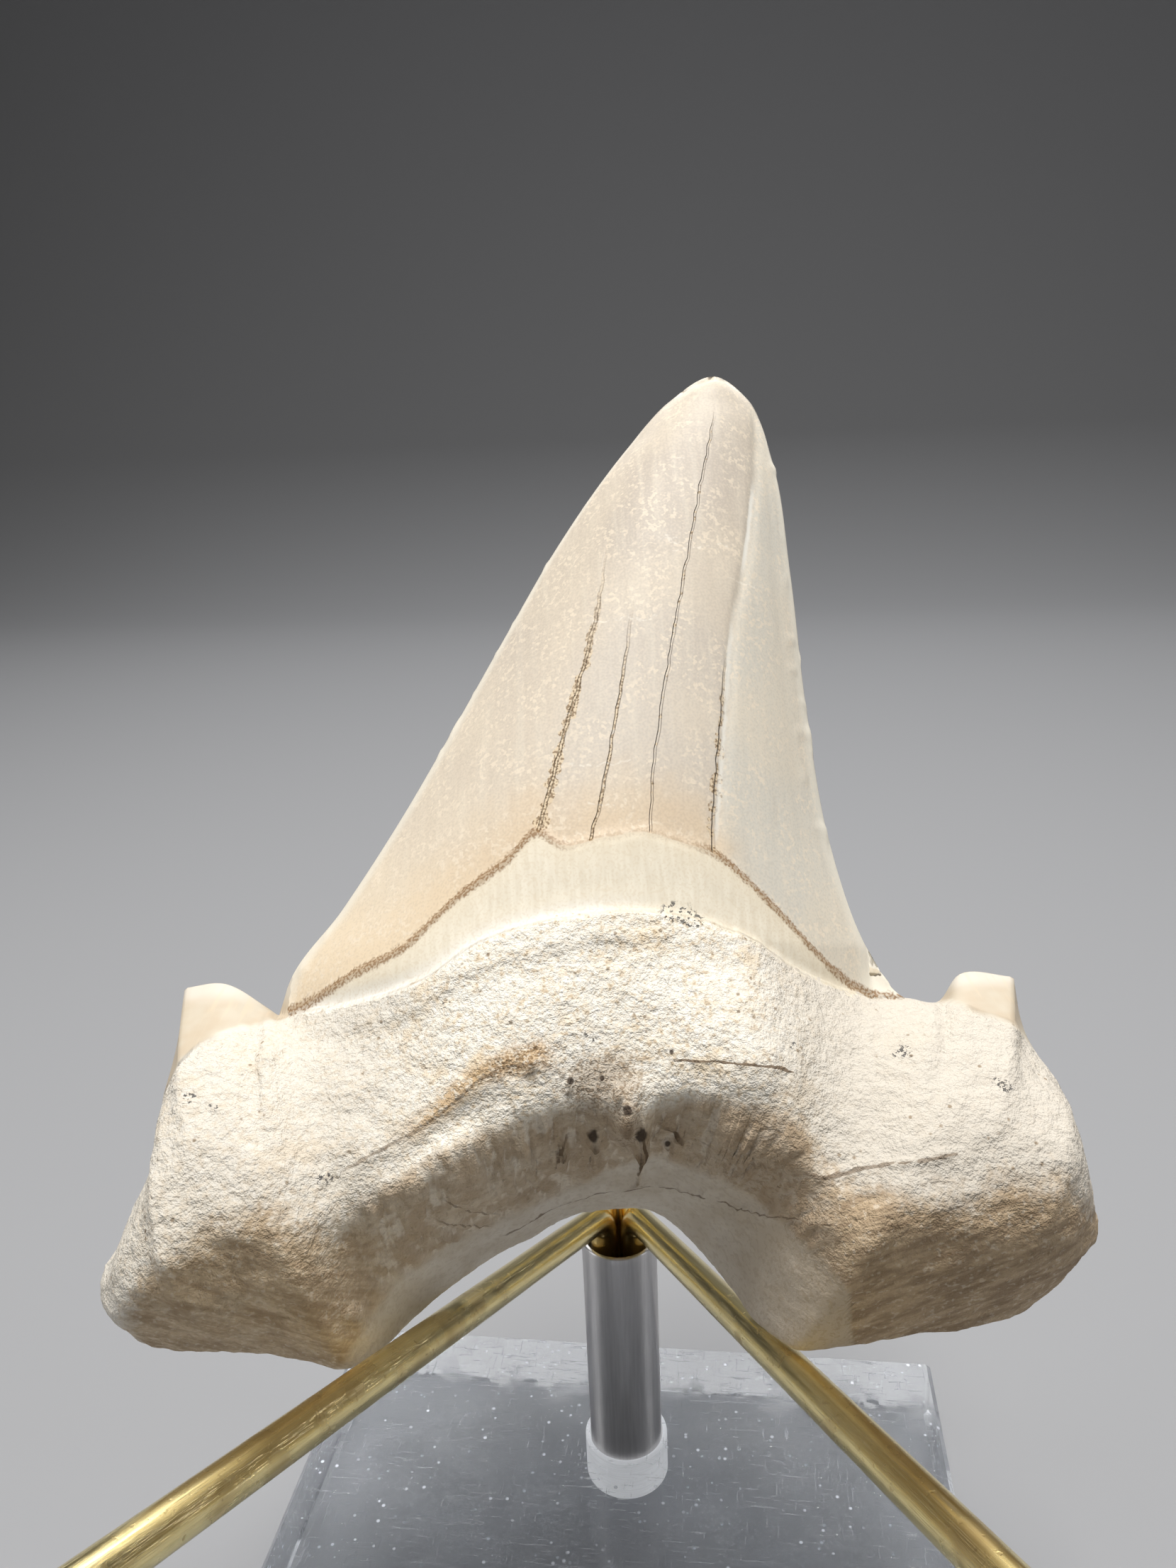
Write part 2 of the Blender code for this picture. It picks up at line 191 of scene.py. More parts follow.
def cappedFaces(columns, around, flip=False):
    # a grid of rings, with its two ends closed on the two points that come after its own
    count = columns * around
    return (gridFaces(columns, around, flip=flip) + fanFaces(count, np.arange(around), flip)
            + fanFaces(count + 1, np.arange(count - around, count), not flip))


def onStand(points):
    # from the frame of the arms and the tooth: turned by the yaw, and set where the post leaves the base
    c, s = cos(stand["yaw"]), sin(stand["yaw"])
    return points @ np.array([(c, s, 0), (-s, c, 0), (0, 0, 1)]) + (0, stand["postY"], stand["baseTop"])


def storeField(piece, name, values):
    field = piece.data.attributes.new(name, "FLOAT", "POINT")
    field.data.foreach_set("value", np.asarray(values, np.float32).ravel())


def storeMap(piece, name, across, along):
    # a UV map from one pair of numbers for each vertex
    corners = np.zeros(len(piece.data.loops), np.int32)
    piece.data.loops.foreach_get("vertex_index", corners)
    layer = piece.data.uv_layers.new(name=name)
    pairs = np.stack([np.ravel(across)[corners], np.ravel(along)[corners]], -1)
    layer.uv.foreach_set("vector", pairs.astype(np.float32).ravel())


# ---- shader tools

def maths(operation):
    # a method that adds one Math node, fed by the socket and by what else it is given
    def method(self, *others):
        return self.look.add("Math", {"operation": operation}, dict(enumerate([self, *others])))
    return method


class Value:
    # a shader socket that stands in sums: each operator adds its Math node
    def __init__(self, look, socket):
        self.look = look
        self.socket = socket

    __add__ = __radd__ = maths("ADD")
    __sub__ = maths("SUBTRACT")
    __mul__ = __rmul__ = maths("MULTIPLY")
    __abs__ = maths("ABSOLUTE")
    least, most = maths("MINIMUM"), maths("MAXIMUM")

    def __rsub__(self, other):
        return self * -1 + other

    def ramp(self, low, high):
        # 0 at low and 1 at high, smooth between; low may be the larger
        limits = {"Value": self, "From Min": low, "From Max": high}
        return self.look.add("MapRange", {"interpolation_type": "SMOOTHSTEP"}, limits)

    def window(self, start, full, fade, end):
        # rises from start to full and falls again from fade to end
        return self.ramp(start, full) * self.ramp(end, fade)

    def offset(self, reach):
        # the value less its middle, times how far it reaches
        return (self - 0.5) * reach


class Look:
    # one material, and the nodes in it
    def __init__(self, name):
        self.material = bpy.data.materials.new(name)
        self.material.use_nodes = True
        self.tree = self.material.node_tree
        self.tree.nodes.clear()

    def add(self, kind, settings=None, inputs=None, out=0):
        node = self.tree.nodes.new("ShaderNode" + kind)
        for name, setting in (settings or {}).items():
            setattr(node, name, setting)
        for name, given in (inputs or {}).items():
            if isinstance(given, Value):
                self.tree.links.new(given.socket, node.inputs[name])
            else:
                node.inputs[name].default_value = given
        return Value(self, node.outputs[out])

    def field(self, name):
        return self.add("Attribute", {"attribute_name": name}, out=2)

    def place(self):
        # object coordinates in millimetres
        spot = self.add("TexCoord", out=3)
        return self.add("VectorMath", {"operation": "SCALE"}, {0: spot, "Scale": 1 / mm})

    def mapped(self, name, stretch):
        # a UV map, stretched
        return self.stretched(self.add("UVMap", {"uv_map": name}), stretch)

    def noise(self, spot, scale, detail, rough=0.55):
        inputs = {"Vector": spot, "Scale": scale, "Detail": detail, "Roughness": rough}
        return self.add("TexNoise", {}, inputs)

    def parts(self, vector):
        split = self.add("SeparateXYZ", {}, {0: vector}).socket.node
        return [Value(self, socket) for socket in split.outputs]

    def joined(self, x, y, z=0.0):
        return self.add("CombineXYZ", {}, {0: x, 1: y, 2: z})

    def blend(self, share, first, second):
        return self.add("Mix", {}, {0: share, 2: first, 3: second})

    def cells(self, spot, scale):
        # distance to the nearest of scattered points
        return self.add("TexVoronoi", {}, {"Vector": spot, "Scale": scale})

    def mix(self, share, first, second):
        inputs = {0: share}
        for slot, color in ((6, first), (7, second)):
            inputs[slot] = color if isinstance(color, Value) else (*color, 1.0)
        return self.add("Mix", {"data_type": "RGBA"}, inputs, out=2)

    def coats(self, color, *layers):
        # layers of colour over each other, each a share and its colour
        for share, tint in layers:
            color = self.mix(share, color, tint)
        return color

    def bump(self, height):
        # height in millimetres
        return self.add("Bump", {}, {"Height": height, "Distance": mm})

    def stretched(self, spot, sizes):
        return self.add("VectorMath", {"operation": "MULTIPLY"}, {0: spot, 1: sizes})

    def skin(self, inputs):
        return self.add("BsdfPrincipled", {}, inputs)

    def shared(self, share, first, second):
        # two surfaces, the second with this share
        return self.add("MixShader", {}, {0: share, 1: first, 2: second})

    def finish(self, surface, volume=None):
        inputs = {"Surface": surface}
        if volume:
            inputs["Volume"] = volume
        node = self.tree.nodes.new("ShaderNodeOutputMaterial")
        for name, given in inputs.items():
            self.tree.links.new(given.socket, node.inputs[name])
        return self.material


# ---- the tooth: u runs to the right, v from root to tip, w towards the viewer, all in mm

tooth = {
    "lean": radians(33),
    "foot": (0.0, -28.0, 34.55),  # where u = v = w = 0, from the post's foot
    "columns": 430,
    "frontRows": (52, 80), "backRows": (28, 38),  # rows of points below and above the neck
    "crowding": 0.55,  # how strongly rows crowd towards the neck
    "edgeDepth": -1.9,  # of the cutting edges at the crown's base; they run to w = 0 at the tip
    "crownBase": 20.4, "tip": 65.5,
    "archBulge": 9.8, "lobeBulge": 9.2,
    "archDepth": -7.6, "lobeDepth": -0.5,
    "archBack": 1.0, "lobeBack": 5.5,
    # slice numbers, and how far up the root its front face turns there from under to upper side
    "crest": ((0, 3, 5, 6.5, 9, 11.5, 13.3, 19.8, 21, 23, 24.2, 26.5, 28.2, 29.8, 31, 34),
              (0.35, 0.42, 0.42, 0.4, 0.41, 0.42, 0.43, 0.42, 0.47, 0.56, 0.43, 0.4, 0.41, 0.53, 0.58, 0.6)),
    "fullBand": 15.3,  # root height at which the root has its full thickness
    "underCrown": (7.5, 13.0, 21.5, 26.8),  # slices where the root's top leaves the outline for the neck
    "cusplets": ((4.2, 6.0, 7.6, 9.0), (25.5, 27.0, 28.3, 30.0)),  # slices where the side cusps stand
    "crownSet": (0.1, 0.3),  # how far the root's top lies under the crown's front and back face
    "crownSink": 1.2, "sinkStart": 1.5,  # slope of the crown's face inside the root, and where it starts
    "rootSink": 0.9,  # slope of the root's face inside the crown
    "blend": 1.8,  # fillet between crown and root
    "neckShares": (0.2, 0.62), "neckTrials": 801,  # bounds of the neck's row in its slice, shares tried
    "neckSpread": 9,  # columns over which the neck's row is evened out
}
# slices from the left lobe's end to the right one's: u and v at the top, u, v and w at the lower edge
slices = np.array([
    (-31.4, 4.6, -31.4, 4.6, -1.9), (-30.9, 6.4, -30.6, 3.3, -1.5), (-29.9, 7.7, -29.2, 1.9, -1.0),
    (-28.5, 10.8, -27.1, 1.2, -0.6), (-27.4, 13.6, -24.9, 1.0, -0.5), (-27.7, 18.4, -21.8, 0.7, -0.5),
    (-27.9, 22.5, -19.3, 0.3, -0.5), (-25.4, 22.7, -17.7, -0.1, -0.5), (-22.7, 21.2, -16.2, -0.2, -0.8),
    (-21.6, 20.4, -15.5, 0.0, -2.1), (-21.1, 22.4, -14.4, 0.9, -4.4), (-17.6, 27.2, -12.8, 2.3, -6.2),
    (-13.6, 33.3, -10.6, 3.8, -7.3), (-10.2, 39.1, -8.2, 5.1, -7.8), (-6.1, 46.3, -6.2, 6.0, -7.8),
    (-2.4, 52.6, -4.7, 6.8, -7.8), (2.9, 60.0, -3.2, 7.3, -7.8), (6.0, 63.5, -1.9, 7.5, -7.8),
    (9.7, 65.5, -0.8, 7.6, -7.8), (11.9, 63.5, 0.4, 7.6, -7.8), (13.3, 58.5, 1.3, 7.5, -7.8),
    (13.9, 49.7, 2.8, 6.9, -7.7), (14.2, 39.5, 4.3, 5.6, -7.4), (15.0, 30.1, 5.8, 4.0, -6.8),
    (16.8, 23.2, 7.4, 2.0, -5.4), (19.1, 19.8, 8.6, 0.4, -2.8), (20.8, 19.5, 9.6, -0.2, -0.9),
    (22.6, 21.3, 11.1, -0.3, -0.5), (26.1, 21.0, 13.5, 0.0, -0.5), (26.2, 17.5, 16.9, 0.4, -0.5),
    (26.7, 14.1, 20.0, 0.7, -0.5), (27.2, 10.5, 23.4, 1.1, -1.0), (27.7, 8.0, 26.1, 2.8, -1.5),
    (28.1, 6.5, 27.8, 4.4, -1.8), (28.4, 5.5, 28.4, 5.5, -1.9),
])
leftNotch, tipSlice, rightNotch = 9, 18, 25  # their slices
topCorners = (6, 9, 28)  # slices where the top edge turns sharply
# u and v along the neck, and along the enamel's lower border on the rounder face
neckLine = np.transpose([
    (-21.6, 20.4), (-15.6, 20.6), (-11.2, 21.6), (-8.1, 23.4), (-4.1, 24.4), (0.0, 24.9), (5.8, 24.2),
    (8.8, 23.0), (10.7, 21.8), (14.6, 20.3), (19.1, 19.8),
])
borderLine = np.transpose([
    (-21.6, 20.4), (-18.9, 21.2), (-15.9, 22.5), (-12.6, 23.8), (-9.6, 26.3), (-6.0, 28.7),
    (-4.2, 30.2), (-3.0, 29.3), (-0.6, 29.5), (2.7, 29.8), (4.5, 29.2), (6.5, 28.6), (9.9, 25.7),
    (13.9, 21.7), (16.6, 20.2), (19.1, 19.8),
])
# v, and how far each face of the crown bulges there
lingualBulge = ((13, 20, 25, 30, 39, 49, 56, 62, 64.8, 65.5),
                (6.2, 8.0, 7.9, 7.5, 6.3, 4.8, 3.4, 2.1, 1.0, 0))
labialBulge = ((13, 20, 30, 44, 56, 65.5), (3.2, 3.1, 2.9, 2.3, 1.3, 0))
cracks = {  # down the crown: v, and u at each
    "crackA": ((21, 28.7, 30.9, 35.7, 40.0, 44.9, 51.2, 55.0, 66),
               (-5.2, -4.6, -4.0, -2.7, -1.4, -0.1, 1.0, 1.7, 3.0)),
    "crackB": ((21, 29.5, 31.9, 36.1, 41.0, 46.2, 66), (-1.2, -1.0, -0.3, 0.6, 1.6, 2.5, 5.0)),
    "crackC": ((21, 30.0, 34.5, 40.7, 45.7, 50.4, 55.7, 61.1, 66),
               (2.4, 2.7, 3.2, 4.4, 5.5, 6.6, 7.8, 9.1, 9.8)),
    "crackD": ((21, 28.6, 33.6, 38.6, 45.1, 48.7, 54.6, 66), (6.0, 6.5, 7.2, 8.0, 9.0, 10.0, 11.2, 12.6)),
}

# on the crown: field, lowest and highest v, fade at the top, half width, how much wider below, how broken up
crackLooks = [
    ("crackA", 20.0, 52.0, 12.0, 0.09, 0.30, 0.2),
    ("crackB", 29.0, 46.5, 8.0, 0.085, 0.06, 0.33),
    ("crackC", 29.5, 62.0, 4.0, 0.07, 0.05, 0.55),
    ("crackD", 28.0, 43.0, 6.0, 0.10, 0.24, 0.42),
]
hairs = [  # pale lines across the crown: first and last u, v at u = 0, slope
    (-2.5, 2.2, 34.4, 0.05), (-0.8, 4.5, 44.6, -0.02), (5.0, 9.6, 48.8, 0.16), (4.0, 6.2, 51.5, -0.2),
    (8.8, 11.8, 47.6, 0.0), (-1.5, 0.8, 31.6, -0.1), (5.5, 7.4, 56.6, 0.1),
]


def outlines():
    # top edge, lower edge and slice number of each column, and whether the crown stands on it; the columns are
    # spread evenly along the longer of the two edges
    run = np.diff(slices, axis=0)
    length = np.maximum(np.hypot(run[:, 0], run[:, 1]), np.hypot(run[:, 2], run[:, 3]))
    knots = np.concatenate([[0], np.cumsum(length)])
    at = np.linspace(0, knots[-1], tooth["columns"] + 2)[1:-1]
    upper = curveAt(at, knots, slices[:, :2], topCorners)
    lower = curveAt(at, knots, slices[:, 2:])
    number = np.interp(at, knots, np.arange(len(slices)))
    return upper, lower, number, ((number > leftNotch) & (number < rightNotch))[:, None]


def inSlices(lower, upper, share):
    # u and v this share of the way up each slice
    return (between(lower[:, i:i + 1], upper[:, i:i + 1], share) for i in (0, 1))


def rowShares(upper, lower, crownHere):
    # how far up its slice each row lies: the neck's row is one of them, and rows crowd towards it
    trial = np.linspace(0, 1, tooth["neckTrials"])
    u, v = inSlices(lower, upper, trial)
    over = (v > curveAt(u, *neckLine)) & crownHere
    rootTop = np.where(over.any(1), trial[over.argmax(1)], 1.0)
    width = tooth["neckSpread"]
    padded = np.pad(np.clip(rootTop, *tooth["neckShares"]), width, mode="edge")
    split = np.convolve(padded, np.ones(2 * width + 1) / (2 * width + 1), "valid")[:, None]

    def crowded(count):
        even = np.linspace(0, 1, count + 1)
        return between(even, (1 - np.cos(pi * even)) / 2, tooth["crowding"])

    def stacked(low, high):
        return np.concatenate([split * crowded(low), between(split, 1, crowded(high)[1:])], 1)

    return rootTop, stacked(*tooth["frontRows"]), stacked(*tooth["backRows"])


def smoothMost(a, b, width):
    # the larger of two heights, with a fillet where they cross
    h = np.clip(0.5 + 0.5 * (a - b) / width, 0, 1)
    return b + (a - b) * h + width * h * (1 - h)


def crownFaces(u, v):
    # depth of the cutting edges, and of both faces: the edge's plus the bulge there times (1 - |across|^a)^b
    left, right = slices[leftNotch:tipSlice + 1, :2], slices[rightNotch - 1:tipSlice - 1:-1, :2]
    edgeLeft, edgeRight = curveAt(v, left[:, 1], left[:, 0]), curveAt(v, right[:, 1], right[:, 0])
    across = np.clip((2 * u - edgeLeft - edgeRight) / np.maximum(edgeRight - edgeLeft, 0.01), -1, 1)
    tall = np.clip((v - tooth["crownBase"]) / (tooth["tip"] - tooth["crownBase"]), 0, 1)
    edge = tooth["edgeDepth"] * (1 - tall)
    front = edge + curveAt(v, *lingualBulge) * (1 - np.abs(across) ** 2.2) ** 0.9
    back = edge - curveAt(v, *labialBulge) * (1 - across**2) ** 0.8
    return across, edge, front, back


def rootFaces(share, rootTop, number, upper, lower, edge, crownFront, crownBack):
    # powers of the share up the root: the front rises to its crest and falls from it, the back swells
    up = np.clip(share / rootTop[:, None], 0, 1)
    neckSide = window(number, *tooth["underCrown"])[:, None]
    blade = sum(window(number, *span) for span in tooth["cusplets"])[:, None]
    crest = curveAt(number, *tooth["crest"])[:, None]
    low = lower[:, 2:]
    arch = np.clip((tooth["lobeDepth"] - low) / (tooth["lobeDepth"] - tooth["archDepth"]), 0, 1)
    height = np.hypot(upper[:, 0] - lower[:, 0], upper[:, 1] - lower[:, 1]) * rootTop
    band = np.clip(height / tooth["fullBand"], 0, 1)[:, None] ** 0.7

    top = between(edge, crownFront - tooth["crownSet"][0], neckSide)
    out = between(low, top, crest) + between(tooth["lobeBulge"], tooth["archBulge"], arch) * band
    rise = 1 - (1 - np.clip(up / crest, 0, 1)) ** (1.35 - 0.2 * arch)
    drop = np.clip((up - crest) / (1 - crest), 0, 1)
    thin = 0.5 + 0.5 * neckSide + 0.55 * blade
    under = between(low, out, rise**0.94)
    over = between(top, out, (1 - drop ** (2 - 0.6 * neckSide)) ** thin)
    front = -smoothMost(-under, -over, 1.5 * bell(up - crest, 0.2) + 0.01)

    top = between(edge, crownBack + tooth["crownSet"][1], neckSide)
    rise = 1 - (1 - np.clip(2 * up, 0, 1)) ** 2
    fall = 1 - (1 - np.clip(2 * (1 - up), 0, 1)) ** 2
    swell = between(tooth["lobeBack"], tooth["archBack"], arch) * band * rise**0.5
    return front, between(low, top, up) - swell * fall ** (0.5 + 0.6 * neckSide + 0.8 * blade)


def toothSurface():
    # points of the plain tooth, a column for each slice: up its front, over its edge and down its back
    upper, lower, number, crownHere = outlines()
    rootTop, frontShare, backShare = rowShares(upper, lower, crownHere)
    share = np.concatenate([frontShare, backShare[:, -2:0:-1]], 1)
    topRow = frontShare.shape[1] - 1
    isFront = np.arange(share.shape[1]) <= topRow
    u, v = inSlices(lower, upper, share)
    across, edge, crownFront, crownBack = crownFaces(u, v)
    rootFront, rootBack = rootFaces(share, rootTop, number, upper, lower, edge, crownFront, crownBack)

    # root and crown meet in a fillet, and each sinks into the other past the neck
    above = curveAt(u, *neckLine) - v  # negative over the neck
    sink = tooth["crownSink"] * np.clip(above - tooth["sinkStart"], 0, None)
    past = tooth["rootSink"] * np.where(share > rootTop[:, None], np.clip(-above, 0, None), 0)
    joinedFront = smoothMost(rootFront - past, crownFront - sink, tooth["blend"])
    joinedBack = -smoothMost(-rootBack - past, -crownBack - sink, tooth["blend"])
    w = np.where(isFront, joinedFront, joinedBack)
    w = np.where(crownHere, w, np.where(isFront, rootFront, rootBack))
    w[:, 0] = lower[:, 2]
    w[:, topRow] = edge[:, topRow]
    return np.stack([u, v, w], -1), isFront[None], crownHere, across


def gridNormals(points):
    # outward normals of a grid whose rows close on themselves
    along = np.gradient(points, axis=0)
    around = np.roll(points, -1, axis=1) - np.roll(points, 1, axis=1)
    normal = np.cross(around, along)
    return normal / np.maximum(np.linalg.norm(normal, axis=-1, keepdims=True), 1e-9)


fissures = {  # in the root: (u, v) along each, width, depth
    "seamLeft": ([(-16.5, 10.6), (-13.5, 12.0), (-11.8, 12.8), (-10.0, 13.9), (-8.9, 14.8), (-7.6, 15.7),
                  (-6.0, 16.3), (-4.2, 16.4), (-2.9, 15.7)], 0.2, 0.26),
    "seamRight": ([(2.8, 16.2), (4.8, 16.1), (6.8, 15.8), (9.2, 15.5), (10.4, 15.0)], 0.16, 0.24),
    "seamFoot": ([(1.4, 12.6), (1.4, 11.3), (1.2, 10.3), (0.9, 9.2)], 0.15, 0.35),
    "seamArch": ([(-8.0, 6.3), (-5.3, 7.7), (-3.4, 8.4), (-1.2, 8.9), (0.8, 9.2), (3.0, 9.1), (5.3, 8.5),
                  (8.3, 7.5), (10.2, 7.3), (13.0, 7.0)], 0.14, 0.24),
    "seamCrease": ([(9.8, 10.3), (11.2, 9.5), (13.6, 10.0), (14.8, 10.1), (19.1, 10.7)], 0.22, 0.26),
    "seamSlit": ([(-4.1, 11.0), (-3.7, 12.0), (-3.0, 12.6)], 0.2, 0.3),
    "seamHook": ([(2.2, 13.1), (3.0, 12.8), (4.0, 12.1)], 0.22, 0.5),
    "scarUpper": ([(-10.6, 9.6), (-8.9, 8.6), (-7.4, 8.1)], 0.18, 0.22),
    "scarLower": ([(-11.2, 8.4), (-9.2, 7.5), (-7.9, 7.3)], 0.18, 0.2),
}
pits = [  # u, v, radius, depth
    (0.4, 13.6, 0.75, 0.7), (-0.1, 14.6, 0.5, 0.45), (1.0, 14.8, 0.45, 0.45), (-1.5, 12.3, 0.5, 1.0),
    (1.2, 12.1, 0.6, 1.1), (2.8, 11.6, 0.34, 0.5), (-3.5, 11.7, 0.6, 0.5), (3.1, 16.7, 0.22, 0.6),
    (-2.8, 15.2, 0.4, 0.4), (-4.4, 13.1, 0.35, 0.3), (1.3, 13.3, 0.4, 0.5), (-16.8, 10.6, 0.35, 0.35),
    (-16.0, 2.9, 0.7, 0.3), (-5.0, 16.4, 0.6, 0.3), (-9.0, 15.3, 0.5, 0.2),
]
holes = [  # u, v and radius of the sharpest, whose insides the look paints near black as painted shade
    (-1.5, 12.3, 0.42), (1.2, 12.15, 0.46), (3.1, 16.7, 0.19), (2.8, 11.6, 0.2), (0.5, 13.6, 0.3),
    (-0.9, 15.4, 0.16), (-2.7, 15.3, 0.2),
]
hollows = [  # u, v, half width and half height, slope, depth; negative depths stand up
    (-7.6, 10.4, 4.6, 1.9, 0.42, 0.8),  # the two bays under the crest
    (7.6, 11.4, 2.4, 2.2, -0.1, 1.0),
    (0.8, 13.2, 1.2, 1.8, 0.0, 0.7),
    (-20.0, 5.0, 4.2, 1.1, 0.12, 0.3),
    (19.0, 4.8, 5.5, 1.3, 0.06, 0.3),
    (-15.7, 15.1, 0.9, 0.8, 0.0, 0.2),
    (-21.2, 17.3, 1.3, 0.7, 0.5, 0.2),
    (3.0, 54.5, 4.0, 5.0, 0.0, 0.2),
    (-9.0, 13.6, 4.0, 0.9, 0.42, -0.3),  # the upper face comes down to a firmer edge over the left bay
]
crestLine = [(-30, 4.2), (-27.3, 6.5), (-24.5, 8.1), (-21.9, 9.0), (-18.2, 9.2), (-15, 9.7), (-12.6, 10.9),
             (-10.2, 12.3), (-7.8, 13.2), (-5.4, 13.8), (-3, 14.3), (2.8, 14.2), (4.8, 14.7), (7.1, 14.3),
             (9.2, 13.6), (10.3, 12.2), (10.8, 10.2), (12.5, 8.4), (14.8, 8.0), (19, 8.3), (21.3, 8.6),
             (24, 8.6), (26, 7.8), (30, 7.0)]
archMiddle = (0.6, 1.0)  # u, v round which the arch curves
archLine = [(-17.5, -1.0), (-15.9, 1.5), (-13.8, 4.4), (-9.9, 6.4), (-5.6, 8.4), (-1.2, 10.1), (1.4, 10.9),
            (5.0, 9.9), (7.3, 9.0), (9.5, 7.0), (12.2, 3.5), (13.4, -1.0)]
leftCusp = [(-30, 10.5), (-28, 13.3), (-26.6, 16.2), (-25.2, 18.3), (-23.1, 19.4), (-20, 20.1)]
rightCusp = [(19, 20.4), (21, 19.5), (22.5, 18.4), (24.7, 17.5), (26, 16.0), (28, 12.5)]
betweenCusps = (-20.8, 19.6)
backNeck = {"top": 22.5, "fall": 0.004, "band": 0.6}  # v = top - fall u^2, and the band's height over it
farBelow = -8.0  # stands for a height over the neck or a cusp where there is none
highCrest = 9.0  # the back counts as this far over the crest
dendrites = [(3.9, 24.8, 1.6), (5.1, 24.3, 1.0), (-1.5, 17.7, 0.8), (10.1, 16.8, 0.5), (16.9, 16.1, 0.9),
             (-24.6, 15.3, 0.7), (-23.0, 14.7, 0.5), (-16.8, 10.6, 0.7), (21.8, 14.0, 0.9), (-9.8, 20.2, 0.5)]


def overLine(u, v, line):
    # height of each point over a line, along v
    line = np.array(line, float)
    return v - np.interp(u, line[:, 0], line[:, 1])


def boneRelief(points, front, bone, crest):
    # noise for lumps and grain, a bell for each hollow, and noise stretched along the folds and grooves
    u, v = points[..., 0], points[..., 1]
    under = (1 - step(crest, -1.3, 0.3)) * front
    arch = (1 - step(overLine(u, v, archLine) + 0.4 * softNoise(points, 0.4, 3), -0.7, 0.9)) * front
    arch = arch * window(u, -18.5, -14.0, 11.0, 17.0)
    wall = under * (1 - arch) * window(u, -17, -13, 10, 13)  # between the crest and the arch's face
    lobes = under * (1 - wall) * (1 - arch)

    lumps = 0.26 * grainNoise(points, 0.17, 2, 11) + 0.12 * grainNoise(points, 0.5, 3, 21)
    grain = 0.085 * grainNoise(points, 1.5, 3, 31)
    pebbled = bell(crest + 1.0, 2.2) * window(u, -27, -20, -14, -9) * front
    height = bone * (lumps - 0.14 + grain * (1 - 0.6 * arch + 1.3 * pebbled))
    for centreU, centreV, wide, tall, slope, depth in hollows:
        du = u - centreU
        height = height - depth * bell(du, wide) * bell(v - centreV - slope * du, tall) * front
    brow = bell(crest, 0.9) * window(u, -17, -11, 8, 11) * front
    height = height + 0.3 * brow * (1 - bell(u - 0.8, 1.6))

    # folds fan out round the arch
    turn = np.arctan2(v - archMiddle[1], u - archMiddle[0])
    reach = np.hypot(v - archMiddle[1], u - archMiddle[0])
    curl = 0.9 * softNoise(points, 0.35, 63) + 0.35 * softNoise(points, 1.0, 65)
    fanned = turn * 15 + 0.05 * reach**1.5 + curl
    rays = np.stack([fanned, reach * 0.4 + 0.5 * curl, points[..., 2] * 0.1], -1)
    folds = 1 - np.abs(grainNoise(rays, 1.0, 3, 61)) * 2.2
    height = height + (0.26 * wall + 0.03 * arch) * (folds - 0.5)

    # shallow grooves lie along the undersides of the lobes
    side = np.abs(u - archMiddle[0])
    lengthwise = np.stack([side * 0.94 + v * 0.34, (v * 0.94 - side * 0.34) * 7, points[..., 2] * 0.3], -1)
    height = height + 0.12 * lobes * grainNoise(lengthwise, 0.24, 3, 91)
    return height, arch, wall, folds


def cutMarks(points, front):
    # depth of the cracks and pits, and how much of a hole each place is, from 0 to 1
    u, v = points[..., 0], points[..., 1]
    depths = hollow = np.zeros_like(u)
    wander = 0.2 * grainNoise(points, 1.3, 2, 71)
    worn = 0.75 + 0.5 * softNoise(points, 1.1, 73)
    ragged = 1 + 0.5 * grainNoise(points, 1.2, 2, 81)
    for line, width, depth in fissures.values():
        away, along = lineDistance(u + wander, v + wander, line)
        groove = bell(away, width) * np.clip(window(along, 0.0, 0.1, 0.88, 1.0) * worn, 0, 1) * front
        depths = depths + depth * groove
        hollow = np.maximum(hollow, groove * np.clip(depth / 0.35, 0, 1))
    for pitU, pitV, radius, depth in pits:
        away = np.hypot(u - pitU, v - pitV) * ragged
        hole = (1 - step(away, 0.2 * radius, radius)) * front
        depths = depths + depth * hole
        hollow = np.maximum(hollow, hole * np.clip(depth / 0.6, 0, 1))
    return depths, hollow


